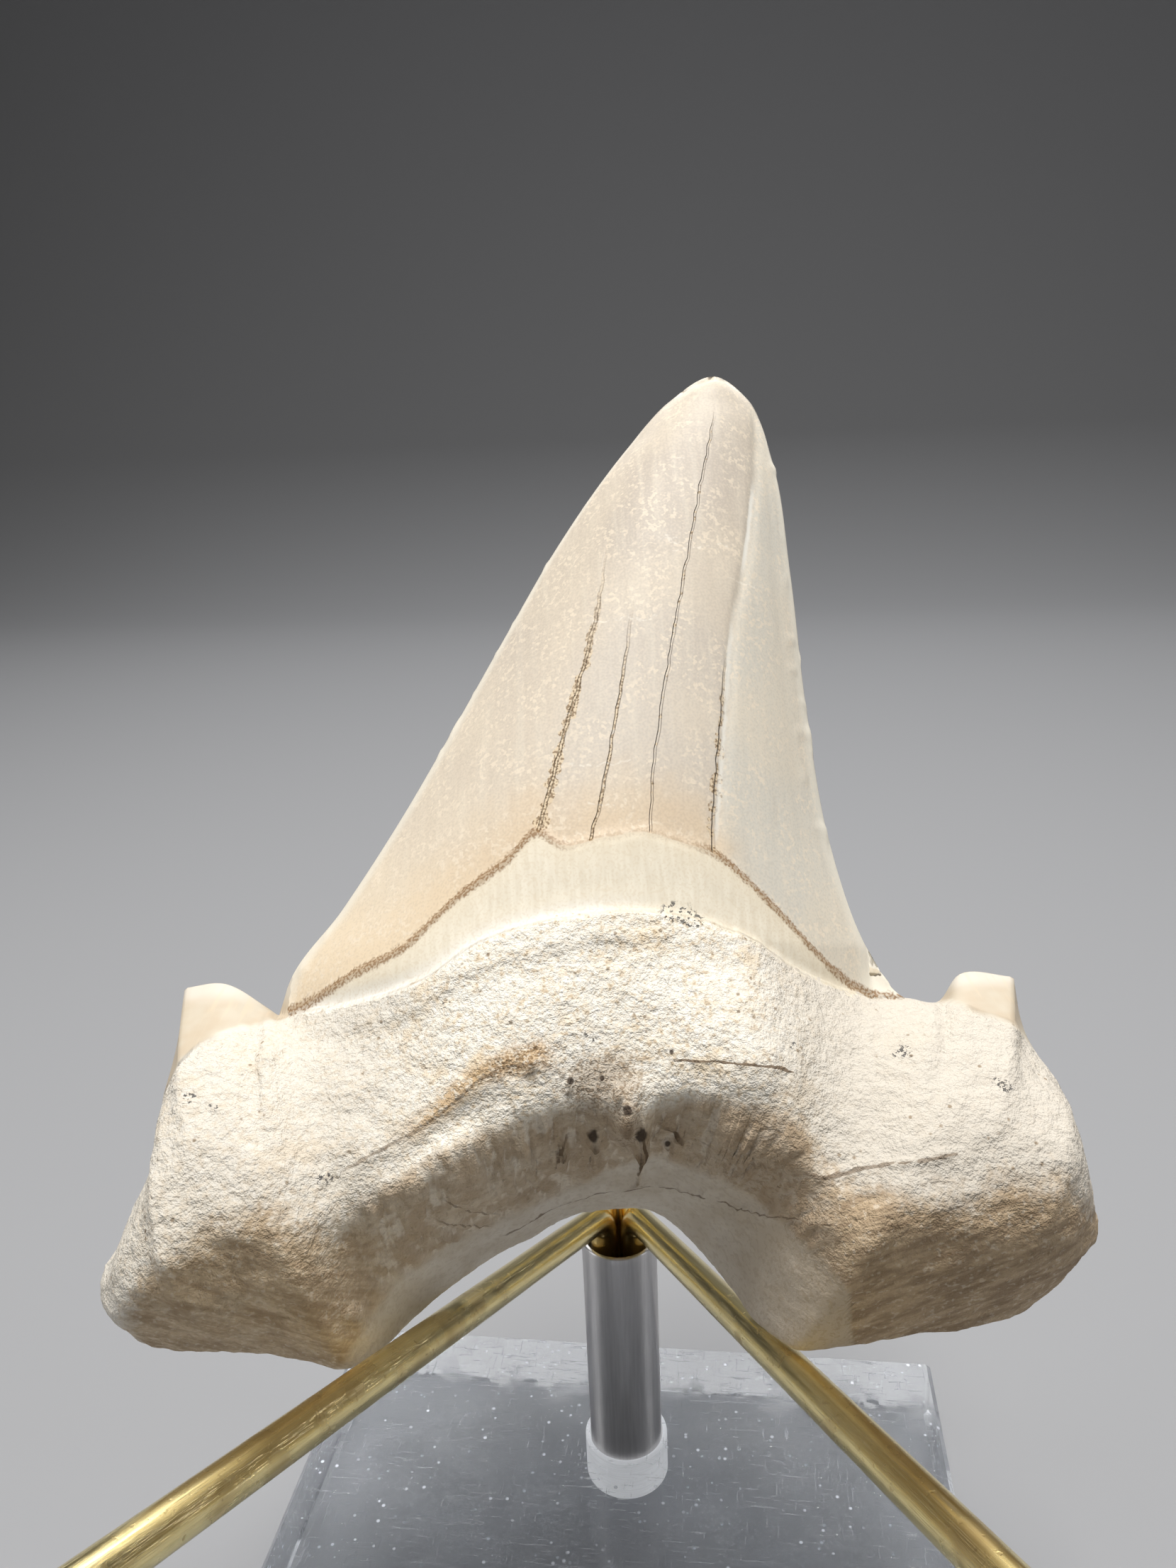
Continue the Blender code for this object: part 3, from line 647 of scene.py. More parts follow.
def relief(points, front, crownHere, across):
    # height of the fine relief over the plain surface, in mm, and the fields that the look reads
    u, v = points[..., 0], points[..., 1]
    overBack = v - backNeck["top"] + backNeck["fall"] * u**2
    overNeck = np.where(crownHere, np.where(front, v - curveAt(u, *neckLine), overBack), farBelow)
    overBorder = np.where(front, v - curveAt(u, *borderLine), overBack - backNeck["band"])
    overBorder = np.where(crownHere, overBorder, farBelow)
    cusp = np.where(u < 0, overLine(u, v, leftCusp), overLine(u, v, rightCusp))
    cusp = np.where((u > betweenCusps[0]) & (u < betweenCusps[1]), farBelow, cusp)
    bone = 1 - step(overNeck + 0.6 * grainNoise(points, 0.9, 3, 5), -0.45, 0.45)
    bone = bone * (1 - step(cusp, -0.6, 0.8))
    crest = overLine(u, v, crestLine)
    height, arch, wall, folds = boneRelief(points, front, bone, crest)
    depths, hollow = cutMarks(points, front)

    # the enamel stands a little over the neck band, whose lower rim is rolled over the root
    roll = bell(overNeck - 0.35, 0.55) * front * crownHere
    height = height - depths + 0.2 * step(overBorder, -0.05, 0.35) * front + 0.14 * roll
    height = height + 0.12 * step(overNeck, -0.1, 0.3) * ~front * crownHere
    ridge = bell(u - curveAt(v, *cracks["crackD"]) - 0.35, 0.4)
    height = height + 0.14 * ridge * front * step(overBorder, 0.0, 1.5)
    bruises = np.clip(softNoise(points, 0.9, 83) - 0.45, 0, 1)
    atEdge = step(np.abs(across), 0.86, 1.0)
    height = np.where(overBorder > 0, height * (1 - atEdge) - 0.25 * bruises * atEdge, height)

    # near the middle, dirt sits above and beside the largest holes
    middle = bell(u + 1.0, 3.1) * bell(v - 15.1, 1.9)
    middle = np.maximum(middle, 1.1 * bell(u - 0.3, 0.9) * bell(v - 14.0, 2.2))
    spots = [1 - np.hypot(u - spotU, (v - spotV) * 1.6) / reach for spotU, spotV, reach in dendrites]
    fields = {
        "hollow": hollow, "middle": middle * front, "overNeck": overNeck, "overBorder": overBorder,
        "cusp": cusp, "crest": np.where(front, crest, highCrest), "archFace": arch, "wall": wall,
        "folds": folds, "dendrite": np.clip(np.max(spots, 0), -1, None), "across": across,
        "facing": front * 1.0,
    }
    for name, crack in cracks.items():
        fields[name] = u - curveAt(v, *crack)
    for name, (line, _, _) in fissures.items():
        line = np.array(line)
        if name == "seamFoot":  # upright, so measured sideways
            fields[name] = u - curveAt(v, line[::-1, 1], line[::-1, 0])
        else:
            fields[name] = overLine(u, v, line)
    return height, fields


def buildTooth(material):
    points, front, crownHere, across = toothSurface()
    height, fields = relief(points, front, crownHere, across)
    columns, around = points.shape[:2]
    carved = points + gridNormals(points) * height[..., None]
    vertices = np.concatenate([carved.reshape(-1, 3), slices[[0, -1], 2:]])
    lean = tooth["lean"]
    axes = np.array([(1, 0, 0), (0, sin(lean), cos(lean)), (0, -cos(lean), sin(lean))])
    placed = onStand(vertices @ axes + tooth["foot"])
    piece = makePiece("fossil_tooth", placed, cappedFaces(columns, around), "tooth", [material])
    for name, values in fields.items():
        values = np.broadcast_to(values, (columns, around))
        storeField(piece, name, np.concatenate([values.ravel(), [values[0].mean(), values[-1].mean()]]))
    storeMap(piece, "plane", vertices[:, 0] / 100 + 0.5, vertices[:, 1] / 100)
    return piece


seamLooks = [  # field, which way it is measured, first and last place along it, half width, strength
    ("seamLeft", "u", -16.0, -2.9, 0.10, 0.55),
    ("seamRight", "u", 2.8, 10.4, 0.08, 0.9),
    ("seamFoot", "v", 9.3, 12.4, 0.09, 0.95),
    ("seamArch", "u", -8.0, 13.0, 0.055, 0.75),
    ("seamCrease", "u", 10.0, 19.0, 0.11, 0.65),
    ("seamHook", "u", 2.2, 4.0, 0.15, 0.95),
    ("seamSlit", "u", -4.3, -2.7, 0.13, 0.8),
    ("scarUpper", "u", -10.6, -7.4, 0.08, 0.6),
    ("scarLower", "u", -11.2, -7.9, 0.08, 0.6),
]


def fossilInputs(look):
    # what the coats of colour share: the place on the tooth, the stored fields, and noises from broad to fine
    spot, plane = look.place(), look.mapped("plane", (100, 100, 0))
    u, v = look.parts(plane)[:2]
    u = u - 50
    shared = {"u": u, "v": v, "spot": spot, "plane": plane}
    for name in ("hollow", "facing", "overNeck", "overBorder", "across", "cusp", "crest", "archFace", "wall",
                 "folds", "middle", "dendrite", "crackA", "crackD", "seamLeft"):
        shared[name] = look.field(name)
    shared["broad"] = look.noise(spot, 0.13, 1)
    shared["patchy"] = look.noise(spot, 0.42, 2, 0.6)
    shared["rough"] = look.noise(spot, 1.1, 1)
    shared["grain"] = look.noise(spot, 2.8, 1, 0.6)
    shared["fine"] = look.noise(spot, 6.5, 0)
    shared["ribs"] = look.noise(look.joined(u * 2.8, v * 0.4), 1.0, 1)
    shared["streaks"] = look.noise(look.joined(u * 1.6, v * 0.12), 1.0, 2, 0.6)
    return shared


def pick(shared, names):
    return [shared[name] for name in names.split()]


def enamelTint(look, shared):
    # greyer in the middle, greener to the right of the ridge, warmer towards its lower border
    u, v, across, overBorder, facing = pick(shared, "u v across overBorder facing")
    broad, patchy, grain, fine, streaks = pick(shared, "broad patchy grain fine streaks")
    low = (overBorder + patchy.offset(4)).ramp(6.0, 0.3) * (u + patchy.offset(3)).ramp(9.5, 5.5)
    return look.coats(
        look.mix(shared["crackA"].ramp(-1.5, 1.5), (0.59, 0.52, 0.43), (0.56, 0.505, 0.435)),
        (v.window(38.0, 54.0, 56.0, 63.0) * 0.85, (0.475, 0.42, 0.36)),
        ((shared["crackD"] + patchy.offset(1.2)).ramp(-0.3, 0.8) * facing, (0.59, 0.565, 0.5)),
        (streaks.ramp(0.42, 0.75) * 0.4, (0.66, 0.605, 0.51)),
        (streaks.ramp(0.45, 0.2) * 0.25, (0.47, 0.425, 0.355)),
        (broad.ramp(0.4, 0.65) * 0.3, (0.72, 0.63, 0.49)),
        (low * 0.55, (0.68, 0.505, 0.31)),
        (overBorder.ramp(14.0, 2.0) * u.ramp(-4.0, -17.0) * 0.5, (0.8, 0.67, 0.48)),
        (grain.ramp(0.52, 0.62) * patchy.ramp(0.38, 0.6) * 0.6, (0.77, 0.675, 0.54)),
        (fine.ramp(0.5, 0.68) * 0.22, (0.7, 0.6, 0.47)),
        (fine.ramp(0.5, 0.32) * 0.18, (0.42, 0.36, 0.29)),
        (abs(across).ramp(0.93, 0.99) * 0.7, (0.78, 0.745, 0.65)))


def bandTint(look, shared):
    # the ribbed band between enamel and root, with a paler rim
    u, overNeck, overBorder, patchy, fine, ribs = pick(shared, "u overNeck overBorder patchy fine ribs")
    return look.coats(
        look.mix(ribs.ramp(0.25, 0.75), (0.69, 0.625, 0.505), (0.765, 0.71, 0.59)),
        (overBorder.ramp(-2.5, 0.0) * 0.4, (0.73, 0.64, 0.48)),
        (overNeck.ramp(1.4, 0.3) * (u + patchy.offset(6)).ramp(3.0, -3.0) * 0.7, (0.85, 0.83, 0.775)),
        (fine.ramp(0.52, 0.66) * 0.25, (0.6, 0.49, 0.34)))


def stumpTint(look, shared):
    # the side cusps are smooth, and paler where they broke off
    u, v, patchy, ribs = pick(shared, "u v patchy ribs")
    broken = v.ramp(20.9, 22.2) * u.ramp(-18.0, -20.0) + v.ramp(19.9, 21.0) * u.ramp(20.0, 22.0)
    return look.coats(
        look.mix(patchy.ramp(0.35, 0.65), (0.55, 0.49, 0.39), (0.52, 0.435, 0.325)),
        (broken * 0.6, (0.7, 0.665, 0.6)),
        (ribs.ramp(0.55, 0.75) * 0.35, (0.66, 0.545, 0.385)))


def chalkTint(look, shared):
    # the root's upper side: chalk with ochre blotches, pale and brown grains and open pores
    u, spot, broad, patchy, grain, fine = pick(shared, "u spot broad patchy grain fine")
    pores = look.cells(spot, 1.25).ramp(0.20, 0.08) * patchy.ramp(0.52, 0.60)
    return look.coats(
        look.mix(patchy.ramp(0.35, 0.7) * 0.5, (0.82, 0.785, 0.705), (0.775, 0.705, 0.585)),
        (broad.ramp(0.45, 0.7) * 0.5, (0.79, 0.72, 0.6)),
        (look.noise(spot, 0.3, 3, 0.65).ramp(0.55, 0.7) * 0.55, (0.76, 0.59, 0.37)),
        (grain.ramp(0.47, 0.38) * patchy.ramp(0.25, 0.6) * 0.5, (0.7, 0.56, 0.38)),
        (grain.ramp(0.36, 0.29) * 0.5, (0.4, 0.29, 0.175)),
        (fine.ramp(0.44, 0.34) * 0.25, (0.56, 0.43, 0.28)),
        (grain.ramp(0.56, 0.68) * 0.5, (0.9, 0.885, 0.84)),
        (u.ramp(4.0, 14.0) * 0.9 + u.ramp(-8.0, -16.0) * 0.6, (0.595, 0.55, 0.48)),
        (pores * 0.75, (0.24, 0.165, 0.095)))


def lobeTint(look, shared):
    # the lobes' undersides: brown smears along each lobe, darkened further on the right one as painted shade
    u, v, patchy, grain = pick(shared, "u v patchy grain")
    side = abs(u - archMiddle[0])
    smear = look.noise(look.joined(side * 0.19 + v * 0.07, v * 0.94 - side * 0.34), 1.5, 3, 0.7)
    deepSmearAndShade = look.mix(smear.ramp(0.4, 0.6), (0.45, 0.325, 0.195), (0.245, 0.165, 0.092))
    return look.coats(
        look.mix(smear.ramp(0.35, 0.65), (0.61, 0.48, 0.325), (0.38, 0.27, 0.16)),
        (patchy.ramp(0.5, 0.68) * 0.4 * u.ramp(12.0, 6.0), (0.7, 0.6, 0.455)),
        # painted shade: the right lobe takes the darker browns
        (u.ramp(7.0, 13.0) * 0.65, deepSmearAndShade),
        (grain.ramp(0.47, 0.38) * 0.35, (0.33, 0.24, 0.15)),
        (grain.ramp(0.58, 0.7) * 0.3, (0.85, 0.78, 0.66)))


def wallTint(look, shared):
    # the wall over the arch, with painted highlights on the tops of its folds and painted shade in its right
    # bay
    u, folds, patchy, rough, grain = pick(shared, "u folds patchy rough grain")
    return look.coats(
        look.mix((patchy + rough.offset(0.5)).ramp(0.35, 0.7), (0.52, 0.41, 0.29), (0.66, 0.565, 0.44)),
        # painted highlight: the fold tops go paler; the next coat darkens the right bay as painted shade,
        # along with brown grains
        ((folds + rough.offset(0.6)).ramp(0.66, 0.95) * 0.7, (0.82, 0.75, 0.64)),
        (grain.ramp(0.47, 0.38) * 0.25 + u.ramp(3.0, 8.0) * 0.6, (0.35, 0.26, 0.17)))


def archTint(look, shared):
    # the arch's own face, darkened towards the right as painted shade
    u, patchy, grain = pick(shared, "u patchy grain")
    return look.coats(
        look.mix(patchy.ramp(0.35, 0.65), (0.74, 0.685, 0.6), (0.66, 0.595, 0.5)),
        # painted shade: the face goes darker brown towards the right, along with brown grains
        (grain.ramp(0.47, 0.38) * 0.2 + u.ramp(3.0, 12.0) * 0.7, (0.43, 0.345, 0.245)))


def boneTint(look, shared):
    # the whole root: chalk above its crest, brown stains and painted shade below it, rust along the left seam,
    # painted shade in the cracks and pits
    u, crest, wall, archFace, hollow, facing = pick(shared, "u crest wall archFace hollow facing")
    broad, patchy, grain, fine = pick(shared, "broad patchy grain fine")
    # painted shade: below the crest line, where the root's face turns from the light, the brown lobe colours
    # come in; the shifts spread them higher on the right and left lobes and keep them off the left tip
    stainAndShadeLevel = crest - u.ramp(8.0, 13.0) * 1.8 - u.ramp(-13.0, -19.0) + u.ramp(-25.0, -29.5) * 3.4
    shade = (stainAndShadeLevel + broad.offset(5) + patchy.offset(4) + grain.offset(2.4)).ramp(0.3, -3.0)
    rust = abs(shared["seamLeft"] - 0.3 + patchy.offset(1.5)).ramp(1.1, 0.2)
    rust = rust * u.window(-13.5, -10.5, -4.5, -3.0) * facing
    middle = shared["middle"] + patchy.offset(0.7)
    crumbs = (fine + grain.offset(0.8)).ramp(0.47, 0.40)
    return look.coats(
        chalkTint(look, shared),
        (shade * 0.92, lobeTint(look, shared)),
        ((wall + patchy.offset(0.6)).ramp(0.1, 0.8), wallTint(look, shared)),
        ((archFace + patchy.offset(0.5)).ramp(0.1, 0.8), archTint(look, shared)),
        (rust * grain.ramp(0.35, 0.55) * 0.8, (0.56, 0.37, 0.18)),
        (rust * u.ramp(-8.5, -6.5) * fine.ramp(0.54, 0.44) * 0.75, (0.25, 0.15, 0.07)),
        (middle.ramp(0.25, 0.9) * 0.7, (0.48, 0.39, 0.29)),
        (middle.ramp(0.25, 0.7) * crumbs * 0.6, (0.25, 0.18, 0.12)),
        # painted shade: cracks and pits go dark brown, the deeper the darker
        ((hollow + grain.offset(0.7)).ramp(0.35, 0.95) * 0.8, (0.23, 0.16, 0.095)))


def crownCracks(look, shared, base, wander, sway):
    # cracks down the crown, each broken into stretches, with sand in them; returns their depth too
    v, facing, enamel, rough = pick(shared, "v facing enamel rough")
    sandLine = shared["fine"].ramp(0.42, 0.56)
    gaps = look.noise(look.joined(shared["u"] * 0.5, v), 2.2, 1)
    depth = 0
    for name, low, high, fade, half, swell, broken in crackLooks:
        away = abs(look.field(name) + wander * (0.5 + swell))
        breadth = v.ramp(high, high - fade) * v.ramp(low - 0.5, low + 0.5)
        wide = v.ramp(high, high - fade * 1.3) * rough.ramp(0.25, 0.7) * swell * 1.6 + half
        line = (wide - away).ramp(0.0, half * 0.7) * breadth * enamel * facing
        line = line * gaps.ramp(broken, broken + 0.1)
        depth = (half * 1.6 - abs(look.field(name) + sway)).ramp(0.0, half) * breadth * -0.16 + depth
        base = look.coats(base, (line * (1 - sandLine * 0.75) * 0.9, (0.24, 0.16, 0.085)),
                          (line * sandLine * 0.65, (0.7, 0.56, 0.37)))
    return base, depth


def crownLines(look, shared, base, wander):
    # a painted highlight along the ridge beside the last crack, the seam along the enamel's lower border, and
    # hairlines
    u, v, facing, enamel, overBorder = pick(shared, "u v facing enamel overBorder")
    patchy, rough, grain, fine = pick(shared, "patchy rough grain fine")
    ridge = shared["crackD"] + wander * 0.6
    # painted highlight: a pale stripe just right of the last crack, where the raised ridge would catch the
    # light
    paintedRidgeShine = (ridge - 0.25).ramp(0.28, 0.0) * (ridge - 0.02).ramp(0.0, 0.15) * enamel * facing
    paintedRidgeShine = paintedRidgeShine * (v.window(28.0, 31.0, 42.0, 47.0) * 0.7 + v.window(47.5, 50.0, 54.0, 56.5))
    ends = abs(u - 1.5).ramp(3.0, 6.0)
    seam = (abs(overBorder + rough.offset(0.35)) + fine.offset(0.3) - ends * 0.12).ramp(0.42, 0.08)
    seam = seam * (1 - shared["bone"]) * facing * (ends * 0.7 + 0.3) * (1 - shared["cuspSkin"])
    base = look.coats(base, (paintedRidgeShine * patchy.ramp(0.25, 0.45) * 0.75, (0.88, 0.865, 0.8)),
                      (seam * (1 - fine.ramp(0.42, 0.56) * 0.4) * 0.92, (0.24, 0.14, 0.065)))
    for start, end, level, slope in hairs:
        hair = abs(v - (u * slope + level) + rough.offset(1.2)).ramp(0.11, 0.02)
        hair = hair * u.window(start, start + 0.6, end - 0.6, end) * facing * grain.ramp(0.42, 0.56)
        base = look.mix(hair * 0.4, base, (0.8, 0.76, 0.68))
    return base


def boneMarks(look, shared, base, wander):
    # dark cracks in the root, painted shade inside its holes, and black mineral specks in clusters
    u, v, spot, facing, rough = pick(shared, "u v spot facing rough")
    for name, way, low, high, half, strength in seamLooks:
        away = abs(look.field(name) + wander * 0.9)
        line = (rough.ramp(0.2, 0.8) * half + half * 0.6 - away).ramp(0.0, 0.05) * facing
        line = line * shared[way].window(low, low + 0.8, high - 0.8, high) * rough.ramp(0.34, 0.44)
        base = look.mix(line * strength, base, (0.17, 0.115, 0.07))
    # painted shade: each hole's inside goes near black
    for holeU, holeV, radius in holes:
        away = look.joined(u - holeU, (v - holeV) * 0.85)
        away = look.add("VectorMath", {"operation": "LENGTH"}, {0: away}, out=1) + rough.offset(radius * 1.6)
        base = look.mix(away.ramp(radius, radius * 0.5) * facing * 0.93, base, (0.06, 0.04, 0.028))
    specks = look.noise(spot, 3.4, 2, 0.7).ramp(0.535, 0.585)
    specks = specks * (shared["dendrite"] + rough.offset(0.8)).ramp(0.15, 0.4)
    return look.mix(specks * facing * 0.85, base, (0.04, 0.04, 0.045))


def fossilLook():
    look = Look("fossil")
    shared = fossilInputs(look)
    overNeck, overBorder, cusp, facing, archFace = pick(shared, "overNeck overBorder cusp facing archFace")
    patchy, rough, grain = pick(shared, "patchy rough grain")
    enamel = (overBorder + rough.offset(0.35)).ramp(-0.06, 0.06)
    cuspSkin = (cusp + patchy.offset(1.6)).ramp(-0.5, 0.5)
    bone = (overNeck + rough.offset(1.3) + grain.offset(0.9)).ramp(0.12, -0.12) * (1 - cuspSkin)
    shared.update(enamel=enamel, cuspSkin=cuspSkin, bone=bone)

    base = look.coats(bandTint(look, shared), (enamel, enamelTint(look, shared)),
                      (cuspSkin, stumpTint(look, shared)), (bone, boneTint(look, shared)))
    sway = look.noise(shared["plane"], 0.7, 1).offset(0.35)
    wander = sway + grain.offset(0.16)
    base, depth = crownCracks(look, shared, base, wander, sway)
    base = crownLines(look, shared, base, wander)
    base = boneMarks(look, shared, base, wander)

    gloss = look.blend(enamel, 0.66, 0.50 + rough * 0.12)
    gloss = look.blend(bone, look.blend(cuspSkin, gloss, 0.5), 0.92)
    smooth = overNeck.ramp(-0.1, 0.3).most(cusp.ramp(-0.4, 0.4)).most(archFace * 0.65)
    coarse = look.noise(shared["spot"], 1.5, 3, 0.75)
    height = depth * facing * overBorder.ramp(-0.1, 0.2) + shared["streaks"] * 0.03 * overNeck.ramp(-0.5, 0.0)
    height = height + (1 - smooth) * (coarse * 0.34 + patchy * 0.3)
    return look.finish(look.skin({"Base Color": base, "Roughness": gloss, "Normal": look.bump(height),
                                  "Specular IOR Level": 0.35}))


# ---- the arms: wire bent to a round corner, swept by a circle

arms = {
    "radius": 1.125,
    "legCircle": 1.47, "mouth": 20.8, "legLength": 14.0,
    "bend": 2.6,
    "corner": 23.35, "reach": 62.0,
    "left": (radians(-25.3), radians(19.7)), "right": (radians(17.2), radians(17.9)),
    "rear": ((0.0, 1.47, 24.5), (0.0, -3.5, 62.5), (0.0, 3.3, 76.0)),
    "sides": 40, "step": 0.8, "arcSteps": 24,
    "endRound": 0.25, "endRings": 5,
}


def armCorners(side):
    # foot, corner and tip of a front arm in the stand's turned frame
    azimuth, rise = arms["left" if side < 0 else "right"]
    x, y = arms["legCircle"] * sin(side * pi / 3), -arms["legCircle"] * cos(side * pi / 3)
    foot = np.array((x, y, arms["mouth"] - arms["legLength"]))
    corner = np.array((x, y, arms["corner"]))
    run = np.array((sin(azimuth) * cos(rise), -cos(azimuth) * cos(rise), sin(rise)))
    return [foot, corner, corner + run * arms["reach"]]


def bentPath(corners):
    # straight runs joined by arcs of the bend radius, in steps of equal length
    points = [corners[0]]
    for last, corner, following in zip(corners, corners[1:], corners[2:]):
        before, after = corner - last, following - corner
        before, after = before / np.linalg.norm(before), after / np.linalg.norm(after)
        turn = np.arccos(np.clip(before @ after, -1, 1))
        side = after - before * (before @ after)
        side = side / np.linalg.norm(side)
        angle = np.linspace(0, turn, arms["arcSteps"])[:, None]
        start = corner - before * arms["bend"] * tan(turn / 2)
        points.extend(start + arms["bend"] * (side * (1 - np.cos(angle)) + before * np.sin(angle)))
    points = np.array([*points, corners[-1]])
    length = np.concatenate([[0], np.cumsum(np.linalg.norm(np.diff(points, axis=0), axis=1))])
    at = np.linspace(0, length[-1], int(length[-1] / arms["step"]) + 1)
    return np.stack([np.interp(at, length, points[:, i]) for i in range(3)], 1), at


def sweptCircle(path, at, radius, sides, endRound):
    # rings square to the path, turned as little as possible from one to the next, with rounded ends
    ends = endRound * (1 - np.cos(np.linspace(0, pi / 2, arms["endRings"])))
    stations = np.concatenate([ends, at[(at > endRound) & (at < at[-1] - endRound)], at[-1] - ends[::-1]])
    path = np.stack([np.interp(stations, at, path[:, i]) for i in range(3)], 1)
    heading = np.gradient(path, axis=0)
    heading = heading / np.linalg.norm(heading, axis=1, keepdims=True)
    side = np.cross(heading[0], (1.0, 0.3, 0.2))
    frames = []
    for direction in heading:
        side = side - direction * (side @ direction)
        side = side / np.linalg.norm(side)
        frames.append((side, np.cross(direction, side)))
    frames = np.array(frames)
    near = np.minimum(stations, stations[-1] - stations)
    inset = endRound - np.sqrt(np.clip(endRound**2 - (endRound - np.minimum(near, endRound)) ** 2, 0, None))
    angle = np.linspace(0, 2 * pi, sides, endpoint=False)
    rim = (radius - inset)[:, None, None]
    ring = frames[:, None, 0] * np.cos(angle)[:, None] + frames[:, None, 1] * np.sin(angle)[:, None]
    return path[:, None] + ring * rim, stations, path, angle


def buildArm(name, node, corners, material):
    path, at = bentPath(corners)
    grid, stations, centre, angle = sweptCircle(path, at, arms["radius"], arms["sides"], arms["endRound"])
    columns, around = grid.shape[:2]
    vertices = onStand(np.concatenate([grid.reshape(-1, 3), centre[:1], centre[-1:]]))
    piece = makePiece(name, vertices, cappedFaces(columns, around, flip=True), node, [material])
    lengths = np.concatenate([np.repeat(stations, around), stations[:1], stations[-1:]])
    turn = np.concatenate([np.tile(np.cos(angle), columns), [0, 0]])
    storeMap(piece, "wire", turn, lengths / 100)
    storeField(piece, "along", lengths)
    return piece


def brassLook():
    look = Look("brass_wire")
    spot = look.place()
    drawn = look.noise(look.mapped("wire", (40, 9, 0)), 1.0, 2, 0.6)
    scratch = look.noise(look.mapped("wire", (90, 30, 0)), 1.0, 1).ramp(0.58, 0.70)
    patch = look.noise(spot, 0.22, 2, 0.6)
    spots = look.noise(spot, 2.4, 2).ramp(0.62, 0.72)
    worn = look.field("along").ramp(18.0, 42.0)  # the wire is duller and browner towards its tip
    tarnish = (patch.ramp(0.48, 0.7) * (worn * 0.45 + 0.1) + spots * (worn * 0.25 + 0.1)).least(0.7)
    warm = look.field("along").ramp(19.0, 14.0)  # where the legs light each other
    color = look.coats(
        look.mix(drawn.ramp(0.3, 0.7), (0.89, 0.73, 0.33), (0.96, 0.83, 0.45)),
        (warm * 0.6, (0.95, 0.6, 0.14)),
        (tarnish, (0.36, 0.23, 0.09)),
        (scratch * (worn * 0.3 + 0.1), (0.98, 0.9, 0.66)))
    gloss = drawn * 0.08 + 0.14 + tarnish * 0.2 + worn * 0.05
    height = drawn * 0.005 - scratch * 0.004 - spots * 0.004
    return look.finish(look.skin({"Base Color": color, "Metallic": 1.0, "Roughness": gloss,
                                  "Normal": look.bump(height)}))


# ---- the post, a turned tube

post = {
    "radius": 3.175, "bore": 2.8, "foot": 4.3, "top": 31.8,
    "lip": 0.12, "lipSteps": 6,  # the mouth's rounding
    "chamfer": (0.1, 0.2),  # of the foot, in and up
    "rim": 1.0,  # the long walls start this far under the top
    "sides": 96, "wallRings": 14,
}


def turnedPiece(profile, centre, sides):
    # a closed profile of (radius, height) carried round an upright axis
    profile = np.array(profile, float)
    angle = np.linspace(0, 2 * pi, sides, endpoint=False)
    x = profile[:, 0] * np.cos(angle)[:, None] + centre[0]
    y = profile[:, 0] * np.sin(angle)[:, None] + centre[1]
    z = profile[:, 1] + np.zeros_like(x)
    return np.stack([x, y, z], -1)


def buildPost(material):
    outer, bore, lip = post["radius"], post["bore"], post["lip"]
    arc = np.linspace(0, pi / 2, post["lipSteps"])
    high, (inward, upward) = post["top"] - post["rim"], post["chamfer"]
    lipOut = [(outer - lip + lip * sin(a), post["top"] - lip + lip * cos(a)) for a in arc]
    lipIn = [(bore + lip - lip * cos(a), post["top"] - lip + lip * sin(a)) for a in arc]
    side = [(outer, z) for z in np.linspace(high, post["foot"] + upward, post["wallRings"])]
    inside = [(bore, z) for z in np.linspace(post["foot"], high, post["wallRings"])]
    profile = [*lipOut, *side, (outer - inward, post["foot"]), *inside, *lipIn]
    grid = turnedPiece(profile, (0, stand["postY"]), post["sides"])
    faces = gridFaces(*grid.shape[:2], closed=True, flip=True)
    piece = makePiece("post", grid.reshape(-1, 3), faces, "post_tube", [material])
    piece.data.set_sharp_from_angle(angle=radians(35))
    return piece


def nickelLook():
    look = Look("nickel_tube")
    spot = look.place()
    drawn = look.noise(look.stretched(spot, (3.0, 3.0, 0.12)), 1.6, 2, 0.6)
    dull = look.noise(spot, 0.5, 1)
    color = look.mix(drawn.ramp(0.3, 0.7), (0.52, 0.51, 0.51), (0.59, 0.58, 0.58))
    gloss = drawn * 0.05 + 0.30 + dull * 0.06
    return look.finish(look.skin({"Base Color": color, "Metallic": 1.0, "Roughness": gloss,
                                  "Normal": look.bump(drawn * 0.002), "Anisotropic": 0.85,
                                  "Anisotropic Rotation": 0.25}))


# ---- the base: a block with bevelled edges and a blind socket

base = {
    "side": 56.0, "height": 11.0, "bevel": 0.4,
    "socket": 3.65, "depth": 7.0,
    "mouth": 3.28,  # cement closes the socket up to the tube
    "rim": 0.1, "rimEnd": 0.25,  # depths at which the mouth ends and the socket has its full width
    "corner": 0.5, "inner": 8.0,  # rounding of the upright edges, and how far in the lowest ring lies
    "middle": 1.0,  # radius of the socket floor's inner ring
    "perCorner": 5, "perSide": 24, "wallRings": 12,  # points, and rings down the socket
}


def squareRing(half, radius):
    # points round a square with rounded corners: one corner's arc and the straight after it, turned four times
    angle = np.linspace(0, pi / 2, base["perCorner"])
    arc = half - radius + radius * np.stack([np.cos(angle), np.sin(angle)], 1)
    turn = np.array([(0, 1), (-1, 0)])
    share = np.linspace(0, 1, base["perSide"] + 2)[1:-1, None]
    quarter = np.concatenate([arc, between(arc[-1], arc[0] @ turn, share)])
    return np.concatenate([quarter @ np.linalg.matrix_power(turn, n) for n in range(4)])


